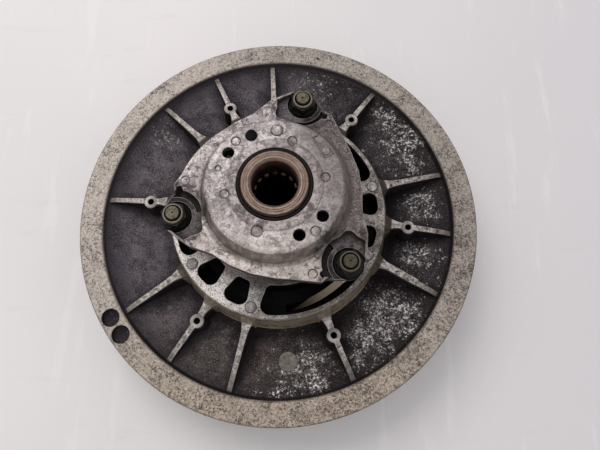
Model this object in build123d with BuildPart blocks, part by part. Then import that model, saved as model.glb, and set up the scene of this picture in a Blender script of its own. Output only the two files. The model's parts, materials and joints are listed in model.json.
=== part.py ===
from build123d import *
import math
import os

os.makedirs("parts", exist_ok=True)

# ---------------------------------------------------------------------------
# Driven (secondary) pulley of a belt CVT, standing on its hub flange.
# +Z is the pulley axis, z = 0 is the underside of the hub flange, millimetres.
# ---------------------------------------------------------------------------

# --- sheaves ---
sheave_r = 134.0            # outside radius of both sheave halves
rim_face_z = 52.0           # top face of the sliding sheave's rim
rim_t = 6.0                 # rim thickness at the outside edge
rim_in_r = 118.5            # inner edge of the rim land
groove_half_angle = 14.0    # belt face angle
groove_in_r = 70.0          # where the belt faces end
face_gap = 1.0              # gap between the faces at groove_in_r, closed
web_t = 5.15                # thickness of the cone web, measured along the axis
tan_g = math.tan(math.radians(groove_half_angle))

upper_face_r = rim_face_z - rim_t                                  # belt face at the edge
upper_face_in = upper_face_r - (sheave_r - groove_in_r) * tan_g    # and at its inner end
lower_face_in = upper_face_in - face_gap
lower_face_r = lower_face_in - (sheave_r - groove_in_r) * tan_g
lower_rim_z = lower_face_r - rim_t


def upper_face(r):
    return upper_face_r - (sheave_r - r) * tan_g


def lower_face(r):
    return lower_face_r + (sheave_r - r) * tan_g


# --- rib and boss pattern of the sliding sheave ---
base_angle = -5.9           # direction of the first bossed rib
rib_offset = 21.15          # plain ribs stand this far either side of every second boss
boss_pitch_r = 86.9
boss_top_z = 55.0
boss_r = 4.55
boss_hole_r = 2.1
plain_rib_angles = [base_angle + 120 * k + s * rib_offset for k in range(3) for s in (-1, 1)]
boss_angles = [base_angle + 60 * k for k in range(6)]

# --- window ring ---
ring_top_z = 62.5
ring_t = 6.0
ring_r = 70.2
window_r = 67.6
window_in_r = 48.9
tower_r = 48.3
tower_in_r = 41.0
chamber_r = 68.2
pocket_floor_z = 39.0
tube_r = 26.0
tube_bore_r = 21.0
tube_top_z = 72.0
large_centres = [base_angle + 60 + 120 * k for k in range(3)]
small_centres = [base_angle + 120 * k for k in range(3)]

# --- hub shaft ---
shaft_r = 19.2
shaft_top_z = 116.0
pilot_r = 13.2
spline_minor_r = 12.1
spline_teeth = 15
spline_from, spline_to = 20.0, 99.0
flange_r, flange_t = 36.0, 6.0

# --- posts and cam ---
post_angles = [74.5 + 120 * k for k in range(3)]
stud_pitch_r = 59.3
post_in, post_out, post_half_w = 49.6, 57.2, 6.5
post_foot_z = lower_face_in
post_head_z, post_top_z = 87.5, 92.0
stud_r, stud_top_z = 3.9, 107.5
shoe_z = 76.05
shoe_r, shoe_out = 6.0, 63.6
cam_lead = 0.8116           # rise of the cam ramp, mm per degree
cam_z0 = 68.0               # height of the ramp under the shoe, closed
cam_in, cam_out = 58.6, 63.2

# --- spring seat ---
seat_top_z = 113.4
seat_plate_z = 102.0
seat_plate_t = 7.5
seat_step_z = 98.6
seat_pocket_z = 96.0
seat_hole_r = 21.8
spring_hole_r = 3.5
spring_pitch_r = 32.4
spring_hole_angles = [144.8, 324.8, 115.0, 295.0]
wire_r = 3.1


def radial_plane(angle):
    # plane that holds the pulley axis: local x runs outwards, local y is +Z
    a = math.radians(angle)
    return Plane(origin=(0, 0, 0), x_dir=(math.cos(a), math.sin(a), 0), z_dir=(math.sin(a), -math.cos(a), 0))


def at_angle(angle, z, r=0.0):
    # level plane at height z, moved out to radius r, with its local x pointing outwards
    a = math.radians(angle)
    return Plane(origin=(r * math.cos(a), r * math.sin(a), z), x_dir=(math.cos(a), math.sin(a), 0), z_dir=(0, 0, 1))


def spot(angle, r):
    a = math.radians(angle)
    return (r * math.cos(a), r * math.sin(a))


def window(r_out, half_out, r_in, half_in, corner, first, last, outer_corner=None):
    # window outline between two arcs, from angle first to last, round corners
    with BuildSketch(Plane.XY, mode=Mode.PRIVATE) as w:
        with BuildLine():
            o = CenterArc((0, 0), r_out, first, last - first)
            i = CenterArc((0, 0), r_in, first + (half_out - half_in), (last - first) - 2 * (half_out - half_in))
            Line(o @ 0, i @ 0)
            Line(o @ 1, i @ 1)
        make_face()
        fillet(w.vertices().sort_by(lambda v: math.hypot(v.X, v.Y))[:2], corner)
        fillet(w.vertices().sort_by(lambda v: math.hypot(v.X, v.Y))[-2:], outer_corner or corner)
    return w.sketch


# ---------------------------------------------------------------------------
# sliding sheave
# ---------------------------------------------------------------------------
rib_top = [(69.0, 61.4), (73.0, 59.7), (87.0, 56.4), (104.0, 52.9), (112.0, 51.2), (116.0, 49.4), (119.2, 47.4)]

with BuildPart() as rib_blanks:
    for ang in plain_rib_angles + boss_angles:
        with BuildSketch(at_angle(ang, 30.0)):
            with BuildLine():
                Polyline(
                    (69.0, -8.4), (71.6, -6.7), (74.0, -5.1), (76.6, -4.0), (80.0, -3.3), (86.0, -2.95), (119.4, -2.3),
                    (119.4, 2.3), (86.0, 2.95), (80.0, 3.3), (76.6, 4.0), (74.0, 5.1), (71.6, 6.7), (69.0, 8.4), close=True,
                )
            make_face()
        extrude(amount=34.0, taper=2.5)

with BuildPart() as ribs:
    with BuildSketch(Plane.XZ):
        with BuildLine():
            Polyline(*rib_top, (119.2, upper_face(119.2) + 2.6), (69.0, upper_face(69.0) + 2.6), close=True)
        make_face()
    revolve(axis=Axis.Z)
    add(rib_blanks.part, mode=Mode.INTERSECT)

with BuildPart() as sliding_sheave:
    with BuildSketch(Plane.XZ):
        with BuildLine():
            Polyline(
                (sheave_r, upper_face_r),
                (sheave_r, rim_face_z - 0.9), (sheave_r - 0.9, rim_face_z),
                (rim_in_r + 0.5, rim_face_z), (rim_in_r, rim_face_z - 0.5),
                (rim_in_r - 0.5, upper_face(118.0) + web_t + 0.9), (rim_in_r - 1.4, upper_face(117.1) + web_t),
                (77.6, upper_face(77.6) + web_t), (75.6, upper_face(75.6) + web_t + 0.6),
                (74.2, upper_face(74.2) + web_t + 2.2), (72.9, 46.0), (71.4, 58.8), (70.9, 61.4),
                (ring_r - 0.3, ring_top_z),
                (tower_in_r + 1.2, ring_top_z), (tower_in_r, ring_top_z - 1.2),
                (tower_in_r, pocket_floor_z), (tube_r, pocket_floor_z),
                (tube_r, tube_top_z - 0.8), (tube_r - 0.8, tube_top_z),
                (tube_bore_r, tube_top_z), (tube_bore_r, 30.6), (tube_bore_r + 0.6, 30.0),
                (26.4, 30.0), (27.4, 34.0), (40.2, 34.0), (41.2, 30.0), (tower_r, 30.0),
                (tower_r, ring_top_z - ring_t), (chamber_r, ring_top_z - ring_t),
                (chamber_r, upper_face(groove_in_r)), (groove_in_r, upper_face(groove_in_r)),
                close=True,
            )
        make_face()
    revolve(axis=Axis.Z)
    add(ribs.part)
    # the long rib that is thicker over its inner part
    with BuildSketch(radial_plane(base_angle - rib_offset)):
        with BuildLine():
            Polyline((69.5, 40.0), (69.5, 61.7), (73.5, 60.8), (87.0, 57.6), (101.2, 54.6), (102.4, 50.0), (102.4, 41.5), close=True)
        make_face()
    extrude(amount=2.15, both=True)
    # tapped bosses
    for ang in boss_angles:
        with BuildSketch(radial_plane(ang)):
            with BuildLine():
                Polyline(
                    (boss_pitch_r, 37.0), (boss_pitch_r + boss_r + 1.5, 37.0), (boss_pitch_r + boss_r + 0.1, boss_top_z - 0.6),
                    (boss_pitch_r + boss_r - 0.4, boss_top_z), (boss_pitch_r, boss_top_z), close=True,
                )
            make_face()
        a = math.radians(ang)
        revolve(axis=Axis((boss_pitch_r * math.cos(a), boss_pitch_r * math.sin(a), 0), (0, 0, 1)))
    with BuildSketch(Plane.XY.offset(43.0)):
        with PolarLocations(boss_pitch_r, 6, start_angle=base_angle):
            Circle(boss_hole_r)
    extrude(amount=20.0, mode=Mode.SUBTRACT)
    # nothing stands above the boss faces
    with BuildSketch(Plane.XY.offset(boss_top_z)):
        with PolarLocations(boss_pitch_r, 6, start_angle=base_angle):
            Circle(boss_r + 0.1)
    extrude(amount=8.0, mode=Mode.SUBTRACT)
    # windows through the ring
    with BuildSketch(Plane.XY.offset(ring_top_z - ring_t - 1.0)):
        for c in large_centres:
            add(window(window_r, 35.0, window_in_r, 31.5, 3.6, c - 35.0, c + 35.0, 6.0))
        for c in small_centres:
            add(window(65.8, 8.1, 49.3, 5.3, 3.0, c + 2.5, c + 18.7, 5.2))
            add(window(65.8, 8.1, 49.3, 5.3, 3.0, c - 18.7, c - 2.5, 5.2))
    extrude(amount=ring_t + 3.0, mode=Mode.SUBTRACT)
    # rivet holes for the cam
    with BuildSketch(Plane.XY.offset(50.0)):
        for ang in plain_rib_angles:
            with Locations(spot(ang, 64.7)):
                Circle(2.55)
    extrude(amount=14.0, mode=Mode.SUBTRACT)
    # two drilled balance holes in the rim
    for ang in (212.5, 218.3):
        with BuildSketch(radial_plane(ang)):
            with BuildLine():
                Polyline((126.65, 46.3), (132.45, 47.9), (132.45, 54.0), (126.65, 54.0), close=True)
            make_face()
        a = math.radians(ang)
        revolve(axis=Axis((126.65 * math.cos(a), 126.65 * math.sin(a), 0), (0, 0, 1)), mode=Mode.SUBTRACT)
    # blind seat of the balance plug
    with BuildSketch(at_angle(274.0, 39.6, 95.5)):
        Circle(6.35)
    extrude(amount=8.0, mode=Mode.SUBTRACT)
    # hole for the lower tang of the spring
    with BuildSketch(at_angle(295.0, 33.0, spring_pitch_r)):
        Circle(3.5)
    extrude(amount=8.0, mode=Mode.SUBTRACT)
sliding_sheave.part.label = "sliding_sheave"
export_step(sliding_sheave.part, "parts/sliding_sheave.step")

# ---------------------------------------------------------------------------
# torque cam: band with three helical ramps and six lugs, riveted in the ring
# ---------------------------------------------------------------------------
with BuildPart() as torque_cam:
    with BuildSketch(Plane.XZ):
        with BuildLine():
            Polyline(
                (cam_in, 31.4), (cam_in + 0.6, 30.8), (66.8, 30.8), (67.4, 31.4), (67.4, 35.0),
                (66.9, 35.5), (cam_in, 35.5), close=True,
            )
        make_face()
    revolve(axis=Axis.Z)
    for post in post_angles:
        steps = 12
        for n in range(steps + 1):
            d = -42.0 + 46.5 * n / steps
            with BuildSketch(radial_plane(post + d)):
                with BuildLine():
                    Polyline((cam_in, 31.6), (cam_out, 31.6), (cam_out, cam_z0 + cam_lead * d), (cam_in, cam_z0 + cam_lead * d), close=True)
                make_face()
        loft(ruled=True)
    # lugs under the ring between the windows
    with BuildSketch(Plane.XY.offset(33.0)):
        for ang in plain_rib_angles:
            add(window(67.2, 3.4, 59.2, 3.4, 0.9, ang - 3.4, ang + 3.4))
    extrude(until=None, amount=ring_top_z - ring_t - 33.0)
    with BuildSketch(Plane.XY.offset(44.0)):
        for ang in plain_rib_angles:
            with Locations(spot(ang, 64.7)):
                Circle(2.55)
    extrude(amount=14.0, mode=Mode.SUBTRACT)
torque_cam.part.label = "torque_cam"
export_step(torque_cam.part, "parts/torque_cam.step")

with BuildPart() as cam_rivets:
    for ang in plain_rib_angles:
        with BuildSketch(at_angle(ang, ring_top_z, 64.7)):
            Circle(3.2)
        extrude(amount=0.45)
        with BuildSketch(at_angle(ang, 45.0, 64.7)):
            Circle(2.48)
        extrude(amount=ring_top_z - 45.0)
    fillet(cam_rivets.edges().filter_by(GeomType.CIRCLE).group_by(Axis.Z)[-1], 0.2)
cam_rivets.part.label = "cam_rivets"
export_step(cam_rivets.part, "parts/cam_rivets.step")

# balance plug in the web
with BuildPart() as balance_plug:
    with BuildSketch(at_angle(274.0, 39.6, 95.5)):
        Circle(6.28)
    extrude(amount=3.9)
    fillet(balance_plug.edges().filter_by(GeomType.CIRCLE).group_by(Axis.Z)[-1], 0.5)
    with BuildSketch(at_angle(274.0, 43.1, 95.5)):
        Circle(1.6)
    extrude(amount=2.0, mode=Mode.SUBTRACT)
balance_plug.part.label = "balance_plug"
export_step(balance_plug.part, "parts/balance_plug.step")

# ---------------------------------------------------------------------------
# bushes, wiper, spring washer
# ---------------------------------------------------------------------------
bush_in, bush_out = shaft_r + 0.05, tube_bore_r - 0.05
with BuildPart() as lower_bush:
    with BuildSketch(Plane.XY.offset(31.5)):
        Circle(bush_out)
        Circle(bush_in, mode=Mode.SUBTRACT)
    extrude(amount=14.5)
lower_bush.part.label = "lower_bush"
export_step(lower_bush.part, "parts/lower_bush.step")

with BuildPart() as upper_bush:
    with BuildSketch(Plane.XY.offset(56.5)):
        Circle(bush_out)
        Circle(bush_in, mode=Mode.SUBTRACT)
    extrude(amount=14.5)
upper_bush.part.label = "upper_bush"
export_step(upper_bush.part, "parts/upper_bush.step")

with BuildPart() as hub_wiper:
    with BuildSketch(Plane.XZ):
        with BuildLine():
            Polyline((19.5, tube_top_z + 2.6), (20.3, tube_top_z + 2.6), (21.4, tube_top_z + 1.4), (24.6, tube_top_z + 1.2), (24.6, tube_top_z), (19.5, tube_top_z), close=True)
        make_face()
    revolve(axis=Axis.Z)
hub_wiper.part.label = "hub_wiper"
export_step(hub_wiper.part, "parts/hub_wiper.step")

with BuildPart() as spring_washer:
    with BuildSketch(Plane.XY.offset(pocket_floor_z)):
        Circle(38.4)
        Circle(26.6, mode=Mode.SUBTRACT)
        with Locations(spot(295.0, spring_pitch_r)):
            Circle(3.6, mode=Mode.SUBTRACT)
    extrude(amount=1.2)
spring_washer.part.label = "spring_washer"
export_step(spring_washer.part, "parts/spring_washer.step")

# ---------------------------------------------------------------------------
# hub shaft: splined tube with a flange
# ---------------------------------------------------------------------------
with BuildPart() as hub_shaft:
    with BuildSketch(Plane.XZ):
        with BuildLine():
            Polyline(
                (pilot_r, 1.2), (pilot_r + 1.2, 0.0), (flange_r - 0.8, 0.0), (flange_r, 0.8), (flange_r, flange_t - 0.6),
                (flange_r - 0.6, flange_t), (shaft_r, flange_t), (shaft_r, shaft_top_z - 0.7), (shaft_r - 0.7, shaft_top_z),
                (17.9, shaft_top_z), (17.7, shaft_top_z - 0.35), (17.2, shaft_top_z - 0.35), (17.0, shaft_top_z - 0.05),
                (16.3, shaft_top_z - 0.05), (16.15, shaft_top_z - 0.3), (15.8, shaft_top_z - 0.3), (15.6, shaft_top_z - 0.1),
                (14.7, shaft_top_z - 0.15), (pilot_r, shaft_top_z - 1.7), close=True,
            )
        make_face()
    revolve(axis=Axis.Z)
    with BuildSketch(Plane.XY.offset(spline_from)):
        Circle(pilot_r + 1.0)
        Circle(spline_minor_r, mode=Mode.SUBTRACT)
        with PolarLocations(pilot_r, spline_teeth, start_angle=9.0):
            Rectangle(4.0, 2.7, mode=Mode.SUBTRACT)
    extrude(amount=spline_to - spline_from)
    with BuildSketch(Plane.XY.offset(spline_from)):
        with PolarLocations(pilot_r - 0.55, spline_teeth, start_angle=9.0):
            Rectangle(2.9, 2.7)
        Circle(spline_minor_r - 0.4, mode=Mode.SUBTRACT)
    extrude(amount=spline_to - spline_from, mode=Mode.SUBTRACT)
    with BuildSketch(Plane.XY.offset(-1.0)):
        with PolarLocations(29.5, 6, start_angle=14.5):
            Circle(3.05)
    extrude(amount=10.0, mode=Mode.SUBTRACT)
hub_shaft.part.label = "hub_shaft"
export_step(hub_shaft.part, "parts/hub_shaft.step")

# ---------------------------------------------------------------------------
# fixed sheave: cone web, rim, hub boss and ribs on its back
# ---------------------------------------------------------------------------
with BuildPart() as back_rib_blanks:
    for n in range(12):
        with BuildSketch(at_angle(14.5 + 30.0 * n, 36.0)):
            with BuildLine():
                Polyline((42.0, -4.6), (46.0, -3.6), (126.0, -2.6), (126.0, 2.6), (46.0, 3.6), (42.0, 4.6), close=True)
            make_face()
        extrude(amount=-36.0, taper=2.0)

with BuildPart() as back_ribs:
    with BuildSketch(Plane.XZ):
        with BuildLine():
            Polyline((42.0, 6.4), (46.0, 6.4), (70.0, 7.0), (110.0, 7.4), (125.5, 7.6), (125.5, lower_face(125.5) - 2.6), (70.0, lower_face(70.0) - 2.6), (42.0, lower_face(70.0) - 2.6), close=True)
        make_face()
    revolve(axis=Axis.Z)
    add(back_rib_blanks.part, mode=Mode.INTERSECT)

with BuildPart() as fixed_sheave:
    with BuildSketch(Plane.XZ):
        with BuildLine():
            Polyline(
                (sheave_r, lower_face_r), (groove_in_r, lower_face_in), (44.0, lower_face_in), (42.6, 24.0),
                (shaft_r + 0.06, 24.0), (shaft_r + 0.06, flange_t), (43.0, flange_t), (44.2, 7.2), (45.0, 19.4), (46.6, 21.0),
                (72.0, 21.0), (74.6, lower_face(74.6) - web_t), (121.5, lower_face(121.5) - web_t), (123.4, lower_rim_z + 1.6),
                (124.4, lower_rim_z), (sheave_r - 0.9, lower_rim_z), (sheave_r, lower_rim_z + 0.9), close=True,
            )
        make_face()
    revolve(axis=Axis.Z)
    add(back_ribs.part)
    # rivet holes of the hub flange
    with BuildSketch(Plane.XY.offset(5.0)):
        with PolarLocations(29.5, 6, start_angle=14.5):
            Circle(3.05)
    extrude(amount=25.0, mode=Mode.SUBTRACT)
    # screw holes and head pockets under the posts
    with BuildSketch(Plane.XY.offset(20.0)):
        with PolarLocations(53.4, 3, start_angle=post_angles[0]):
            Circle(4.2)
    extrude(amount=12.0, mode=Mode.SUBTRACT)
    with BuildSketch(Plane.XY.offset(4.0)):
        with PolarLocations(53.4, 3, start_angle=post_angles[0]):
            Circle(7.6)
    extrude(amount=17.0, mode=Mode.SUBTRACT)
fixed_sheave.part.label = "fixed_sheave"
export_step(fixed_sheave.part, "parts/fixed_sheave.step")

with BuildPart() as hub_rivets:
    with BuildSketch(Plane.XY.offset(0.6)):
        with PolarLocations(29.5, 6, start_angle=14.5):
            Circle(2.98)
    extrude(amount=24.0)
    with BuildSketch(Plane.XY.offset(24.0)):
        with PolarLocations(29.5, 6, start_angle=14.5):
            Circle(4.6)
    extrude(amount=3.0)
    fillet(hub_rivets.edges().filter_by(GeomType.CIRCLE).group_by(Axis.Z)[-1], 1.4)
hub_rivets.part.label = "hub_rivets"
export_step(hub_rivets.part, "parts/hub_rivets.step")

with BuildPart() as stop_ring:
    with BuildSketch(Plane.XY.offset(24.0)):
        Circle(24.4)
        Circle(19.4, mode=Mode.SUBTRACT)
    extrude(amount=5.9)
    chamfer(stop_ring.edges().group_by(Axis.Z)[-1], 0.4)
stop_ring.part.label = "stop_ring"
export_step(stop_ring.part, "parts/stop_ring.step")

# ---------------------------------------------------------------------------
# posts with their studs, screws, shoes
# ---------------------------------------------------------------------------
with BuildPart() as cam_posts:
    for ang in post_angles:
        with BuildSketch(at_angle(ang, post_foot_z)):
            with Locations(((post_in + post_out) / 2, 0)):
                RectangleRounded(post_out - post_in, 2 * post_half_w, 1.4)
        extrude(amount=post_head_z + 1.0 - post_foot_z)
        with BuildSketch(at_angle(ang, post_head_z)):
            with Locations((stud_pitch_r, 0)):
                Circle(8.0)
            with Locations(((post_in + stud_pitch_r) / 2, 0)):
                RectangleRounded(stud_pitch_r - post_in, 2 * post_half_w, 1.4)
        extrude(amount=post_top_z - post_head_z)
        with BuildSketch(at_angle(ang, post_top_z - 1.0, stud_pitch_r)):
            Circle(stud_r)
        extrude(amount=stud_top_z - post_top_z + 1.0)
    chamfer(cam_posts.edges().filter_by(GeomType.CIRCLE).group_by(Axis.Z)[-1], 0.45)
    for ang in post_angles:
        # centre dimple of the stud
        with BuildSketch(at_angle(ang, stud_top_z - 0.7, stud_pitch_r)):
            Circle(0.55)
        extrude(amount=2.0, mode=Mode.SUBTRACT)
        # tapped hole in the foot
        with BuildSketch(at_angle(ang, post_foot_z - 1.0, 53.4)):
            Circle(3.0)
        extrude(amount=18.0, mode=Mode.SUBTRACT)
        # tapped hole for the shoe screw
        a = math.radians(ang)
        with BuildSketch(Plane(origin=(51.0 * math.cos(a), 51.0 * math.sin(a), shoe_z), x_dir=(0, 0, 1), z_dir=(math.cos(a), math.sin(a), 0))):
            Circle(2.05)
        extrude(amount=10.0, mode=Mode.SUBTRACT)
cam_posts.part.label = "cam_posts"
export_step(cam_posts.part, "parts/cam_posts.step")

with BuildPart() as post_screws:
    for ang in post_angles:
        with BuildSketch(at_angle(ang, 14.0, 53.4)):
            Circle(6.5)
        extrude(amount=7.0)
        with BuildSketch(at_angle(ang, 20.0, 53.4)):
            Circle(2.95)
        extrude(amount=24.0)
    chamfer(post_screws.edges().filter_by(GeomType.CIRCLE).group_by(Axis.Z)[0], 0.6)
    for ang in post_angles:
        with BuildSketch(at_angle(ang, 13.0, 53.4)):
            RegularPolygon(3.0, 6)
        extrude(amount=4.5, mode=Mode.SUBTRACT)
post_screws.part.label = "post_screws"
export_step(post_screws.part, "parts/post_screws.step")

with BuildPart() as ramp_shoes:
    for ang in post_angles:
        a = math.radians(ang)
        out = (math.cos(a), math.sin(a), 0)
        with BuildSketch(Plane(origin=(post_out * out[0], post_out * out[1], shoe_z), x_dir=(0, 0, 1), z_dir=out)):
            Circle(shoe_r)
            Circle(2.1, mode=Mode.SUBTRACT)
        extrude(amount=shoe_out - post_out)
        with BuildSketch(Plane(origin=((shoe_out - 2.4) * out[0], (shoe_out - 2.4) * out[1], shoe_z), x_dir=(0, 0, 1), z_dir=out)):
            Circle(3.9)
        extrude(amount=4.0, mode=Mode.SUBTRACT)
ramp_shoes.part.label = "ramp_shoes"
export_step(ramp_shoes.part, "parts/ramp_shoes.step")

with BuildPart() as shoe_screws:
    for ang in post_angles:
        a = math.radians(ang)
        out = (math.cos(a), math.sin(a), 0)
        with BuildSketch(Plane(origin=(51.6 * out[0], 51.6 * out[1], shoe_z), x_dir=(0, 0, 1), z_dir=out)):
            Circle(1.98)
        extrude(amount=shoe_out - 2.4 - 51.6)
        with BuildSketch(Plane(origin=((shoe_out - 2.4) * out[0], (shoe_out - 2.4) * out[1], shoe_z), x_dir=(0, 0, 1), z_dir=out)):
            Circle(3.6)
        extrude(amount=2.0)
        with BuildSketch(Plane(origin=((shoe_out - 1.5) * out[0], (shoe_out - 1.5) * out[1], shoe_z), x_dir=(0, 0, 1), z_dir=out)):
            Rectangle(5.0, 0.9)
        extrude(amount=3.0, mode=Mode.SUBTRACT)
shoe_screws.part.label = "shoe_screws"
export_step(shoe_screws.part, "parts/shoe_screws.step")

# ---------------------------------------------------------------------------
# spring seat: dome with a three-lobed plate
# ---------------------------------------------------------------------------
# plate corners, angle from a stud (positive anticlockwise) and radius
plate_corners = [(-18.4, 59.3), (-33.0, 52.7), (-44.0, 50.9), (-60.0, 50.1), (-75.0, 50.2), (-88.0, 51.2)]
lobe_r = 8.7
outline = []
for post in reversed(post_angles):
    for d, r in [(19.4, 58.4), (11.4, 62.6), (6.4, 65.4), (-6.4, 65.2), (-15.8, 58.6)] + plate_corners:
        a = math.radians(post + d)
        outline.append((r * math.cos(a), r * math.sin(a)))

with BuildSketch(Plane.XY) as plate_outline:
    with BuildLine():
        Polyline(*outline, close=True)
    make_face()
    fillet(plate_outline.vertices().filter_by(lambda v: abs(math.hypot(v.X, v.Y) - 58.6) > 0.05), 1.6)
    for ang in post_angles:
        with Locations(spot(ang, stud_pitch_r)):
            Circle(lobe_r)

# sunk platform round a stud, in the stud's own frame: x outwards, y anticlockwise
with BuildSketch(Plane.XY) as platform_shape:
    Circle(15.7)
    with Locations((-6.3, 6.2)):
        RectangleRounded(16.0, 16.0, 4.0)
    with Locations((-3.6, -12.6)):
        RectangleRounded(8.0, 8.6, 1.6)

# deeper moat on its clockwise side, outside the raised ring round the spot face
with BuildSketch(Plane.XY) as moat_shape:
    Circle(15.7)
    with Locations((-3.6, -12.6)):
        RectangleRounded(8.0, 8.6, 1.6)
    Circle(12.1, mode=Mode.SUBTRACT)
    with BuildLine():
        Polyline((0, 0), (-30.0, 1.0), (-30.0, 30.0), (30.0, 30.0), (30.0, -10.0), (-0.5, -10.0), close=True)
    make_face(mode=Mode.SUBTRACT)

with BuildPart() as spring_seat:
    with BuildSketch(Plane.XY.offset(seat_plate_z - seat_plate_t)):
        add(plate_outline.sketch)
    extrude(amount=seat_plate_t)
    # lobes reach a little lower, onto the posts
    with BuildSketch(Plane.XY.offset(post_top_z)):
        for ang in post_angles:
            with Locations(spot(ang, stud_pitch_r)):
                Circle(lobe_r)
    extrude(amount=8.0)
    with BuildSketch(Plane.XZ):
        with BuildLine():
            Polyline(
                (0.0, 98.0), (0.0, seat_top_z + 0.45), (26.6, seat_top_z + 0.45), (27.2, seat_top_z), (37.9, seat_top_z),
                (38.9, seat_top_z - 0.35), (39.6, seat_top_z - 1.1), (42.6, seat_plate_z + 1.4), (43.4, seat_plate_z + 0.4), (44.6, seat_plate_z),
                (44.6, 98.0), close=True,
            )
        make_face()
    revolve(axis=Axis.Z)
    # hollow inside of the dome
    with BuildSketch(Plane.XZ):
        with BuildLine():
            Polyline((0.0, 90.0), (0.0, seat_top_z - 4.0), (36.0, seat_top_z - 4.0), (37.2, seat_top_z - 5.2), (39.0, seat_plate_z - seat_plate_t), (39.0, 90.0), close=True)
        make_face()
    revolve(axis=Axis.Z, mode=Mode.SUBTRACT)
    # collar around the shaft, under the dome
    with BuildSketch(Plane.XY.offset(100.0)):
        Circle(24.6)
    extrude(amount=11.0)
    with BuildSketch(Plane.XY.offset(90.0)):
        Circle(seat_hole_r)
    extrude(amount=40.0, mode=Mode.SUBTRACT)
    # sunk platforms around the studs; a thin lip stays along the flanks
    with BuildSketch(Plane.XY.offset(seat_step_z)):
        add(plate_outline.sketch)
        offset(amount=-1.1, kind=Kind.INTERSECTION)
        with BuildSketch(Plane.XY, mode=Mode.PRIVATE) as reach:
            for ang in post_angles:
                add(platform_shape.sketch.rotate(Axis.Z, ang).moved(Location((*spot(ang, stud_pitch_r), 0))))
        add(reach.sketch, mode=Mode.INTERSECT)
    extrude(amount=12.0, mode=Mode.SUBTRACT)
    with BuildSketch(Plane.XY.offset(seat_pocket_z)):
        add(plate_outline.sketch)
        offset(amount=-1.1, kind=Kind.INTERSECTION)
        with BuildSketch(Plane.XY, mode=Mode.PRIVATE) as moat_reach:
            for ang in post_angles:
                add(moat_shape.sketch.rotate(Axis.Z, ang).moved(Location((*spot(ang, stud_pitch_r), 0))))
        add(moat_reach.sketch, mode=Mode.INTERSECT)
    extrude(amount=12.0, mode=Mode.SUBTRACT)
    # spot face under each washer, and the open outer flank beside it
    with BuildSketch(Plane.XY.offset(seat_pocket_z)):
        for ang in post_angles:
            with Locations(spot(ang, stud_pitch_r)):
                Circle(9.3)
    extrude(amount=12.0, mode=Mode.SUBTRACT)
    with BuildSketch(Plane.XY.offset(seat_step_z)):
        for ang in post_angles:
            with Locations(at_angle(ang, 0.0, stud_pitch_r).location):
                with Locations((3.4, -11.2)):
                    Rectangle(12.0, 8.4)
    extrude(amount=12.0, mode=Mode.SUBTRACT)
    # spring holes, stud holes
    with BuildSketch(Plane.XY.offset(100.0)):
        for ang in spring_hole_angles:
            with Locations(spot(ang, spring_pitch_r)):
                Circle(spring_hole_r)
    extrude(amount=20.0, mode=Mode.SUBTRACT)
    with BuildSketch(Plane.XY.offset(90.0)):
        with PolarLocations(stud_pitch_r, 3, start_angle=post_angles[0]):
            Circle(4.3)
    extrude(amount=20.0, mode=Mode.SUBTRACT)
    # shallow ejector marks, some sunk and one proud
    marks = [(34.2, 130.9, 2.6), (27.9, 69.5, 2.6), (28.5, 8.0, 2.6), (28.3, 192.1, 2.6), (28.7, 251.2, 3.1), (35.3, 309.7, 2.7), (33.2, 163.8, 1.6)]
    with BuildSketch(Plane.XY.offset(seat_top_z - 0.3)):
        for r, ang, mr in marks:
            with Locations(spot(ang, r)):
                Circle(mr)
    extrude(amount=2.0, mode=Mode.SUBTRACT)
    with BuildSketch(at_angle(88.4, seat_top_z - 0.5, 32.6)):
        Circle(3.3)
    extrude(amount=0.85)
    with BuildSketch(Plane.XY.offset(seat_plate_z - 0.3)):
        for ang in (173.0, 53.5, 293.5):
            with Locations(spot(ang, 53.0)):
                Circle(2.5)
    extrude(amount=0.9, mode=Mode.SUBTRACT)
    # plain sunk pad where a casting label would be
    with BuildSketch(Plane(origin=(27.2, 22.9, seat_top_z - 0.35), x_dir=(math.cos(math.radians(-62)), math.sin(math.radians(-62)), 0), z_dir=(0, 0, 1))):
        Rectangle(14.4, 5.6)
        with Locations((-4.2, 0)):
            Circle(1.9, mode=Mode.SUBTRACT)
        with Locations((3.6, 0)):
            Circle(1.9, mode=Mode.SUBTRACT)
    extrude(amount=2.0, mode=Mode.SUBTRACT)
spring_seat.part.label = "spring_seat"
export_step(spring_seat.part, "parts/spring_seat.step")

# black bush and brown ring between seat and shaft
with BuildPart() as seat_bush:
    with BuildSketch(Plane.XY.offset(100.0)):
        Circle(seat_hole_r - 0.07)
        Circle(shaft_r + 0.07, mode=Mode.SUBTRACT)
    extrude(amount=12.9)
seat_bush.part.label = "seat_bush"
export_step(seat_bush.part, "parts/seat_bush.step")

with BuildPart() as snap_ring:
    with BuildSketch(Plane.XY.offset(112.9)):
        Circle(21.1)
        Circle(20.0, mode=Mode.SUBTRACT)
    extrude(amount=0.9)
snap_ring.part.label = "snap_ring"
export_step(snap_ring.part, "parts/snap_ring.step")

# ---------------------------------------------------------------------------
# washers and nuts on the studs
# ---------------------------------------------------------------------------
with BuildPart() as seat_washers:
    for ang in post_angles:
        a = math.radians(ang)
        cx, cy = stud_pitch_r * math.cos(a), stud_pitch_r * math.sin(a)
        with BuildSketch(radial_plane(ang)):
            with BuildLine():
                Polyline(
                    (stud_pitch_r + 4.3, seat_pocket_z), (stud_pitch_r + 8.9, seat_pocket_z), (stud_pitch_r + 8.9, seat_pocket_z + 0.8),
                    (stud_pitch_r + 8.3, seat_pocket_z + 1.5), (stud_pitch_r + 4.3, seat_pocket_z + 1.9), close=True,
                )
            make_face()
        revolve(axis=Axis((cx, cy, 0), (0, 0, 1)))
seat_washers.part.label = "seat_washers"
export_step(seat_washers.part, "parts/seat_washers.step")

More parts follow.
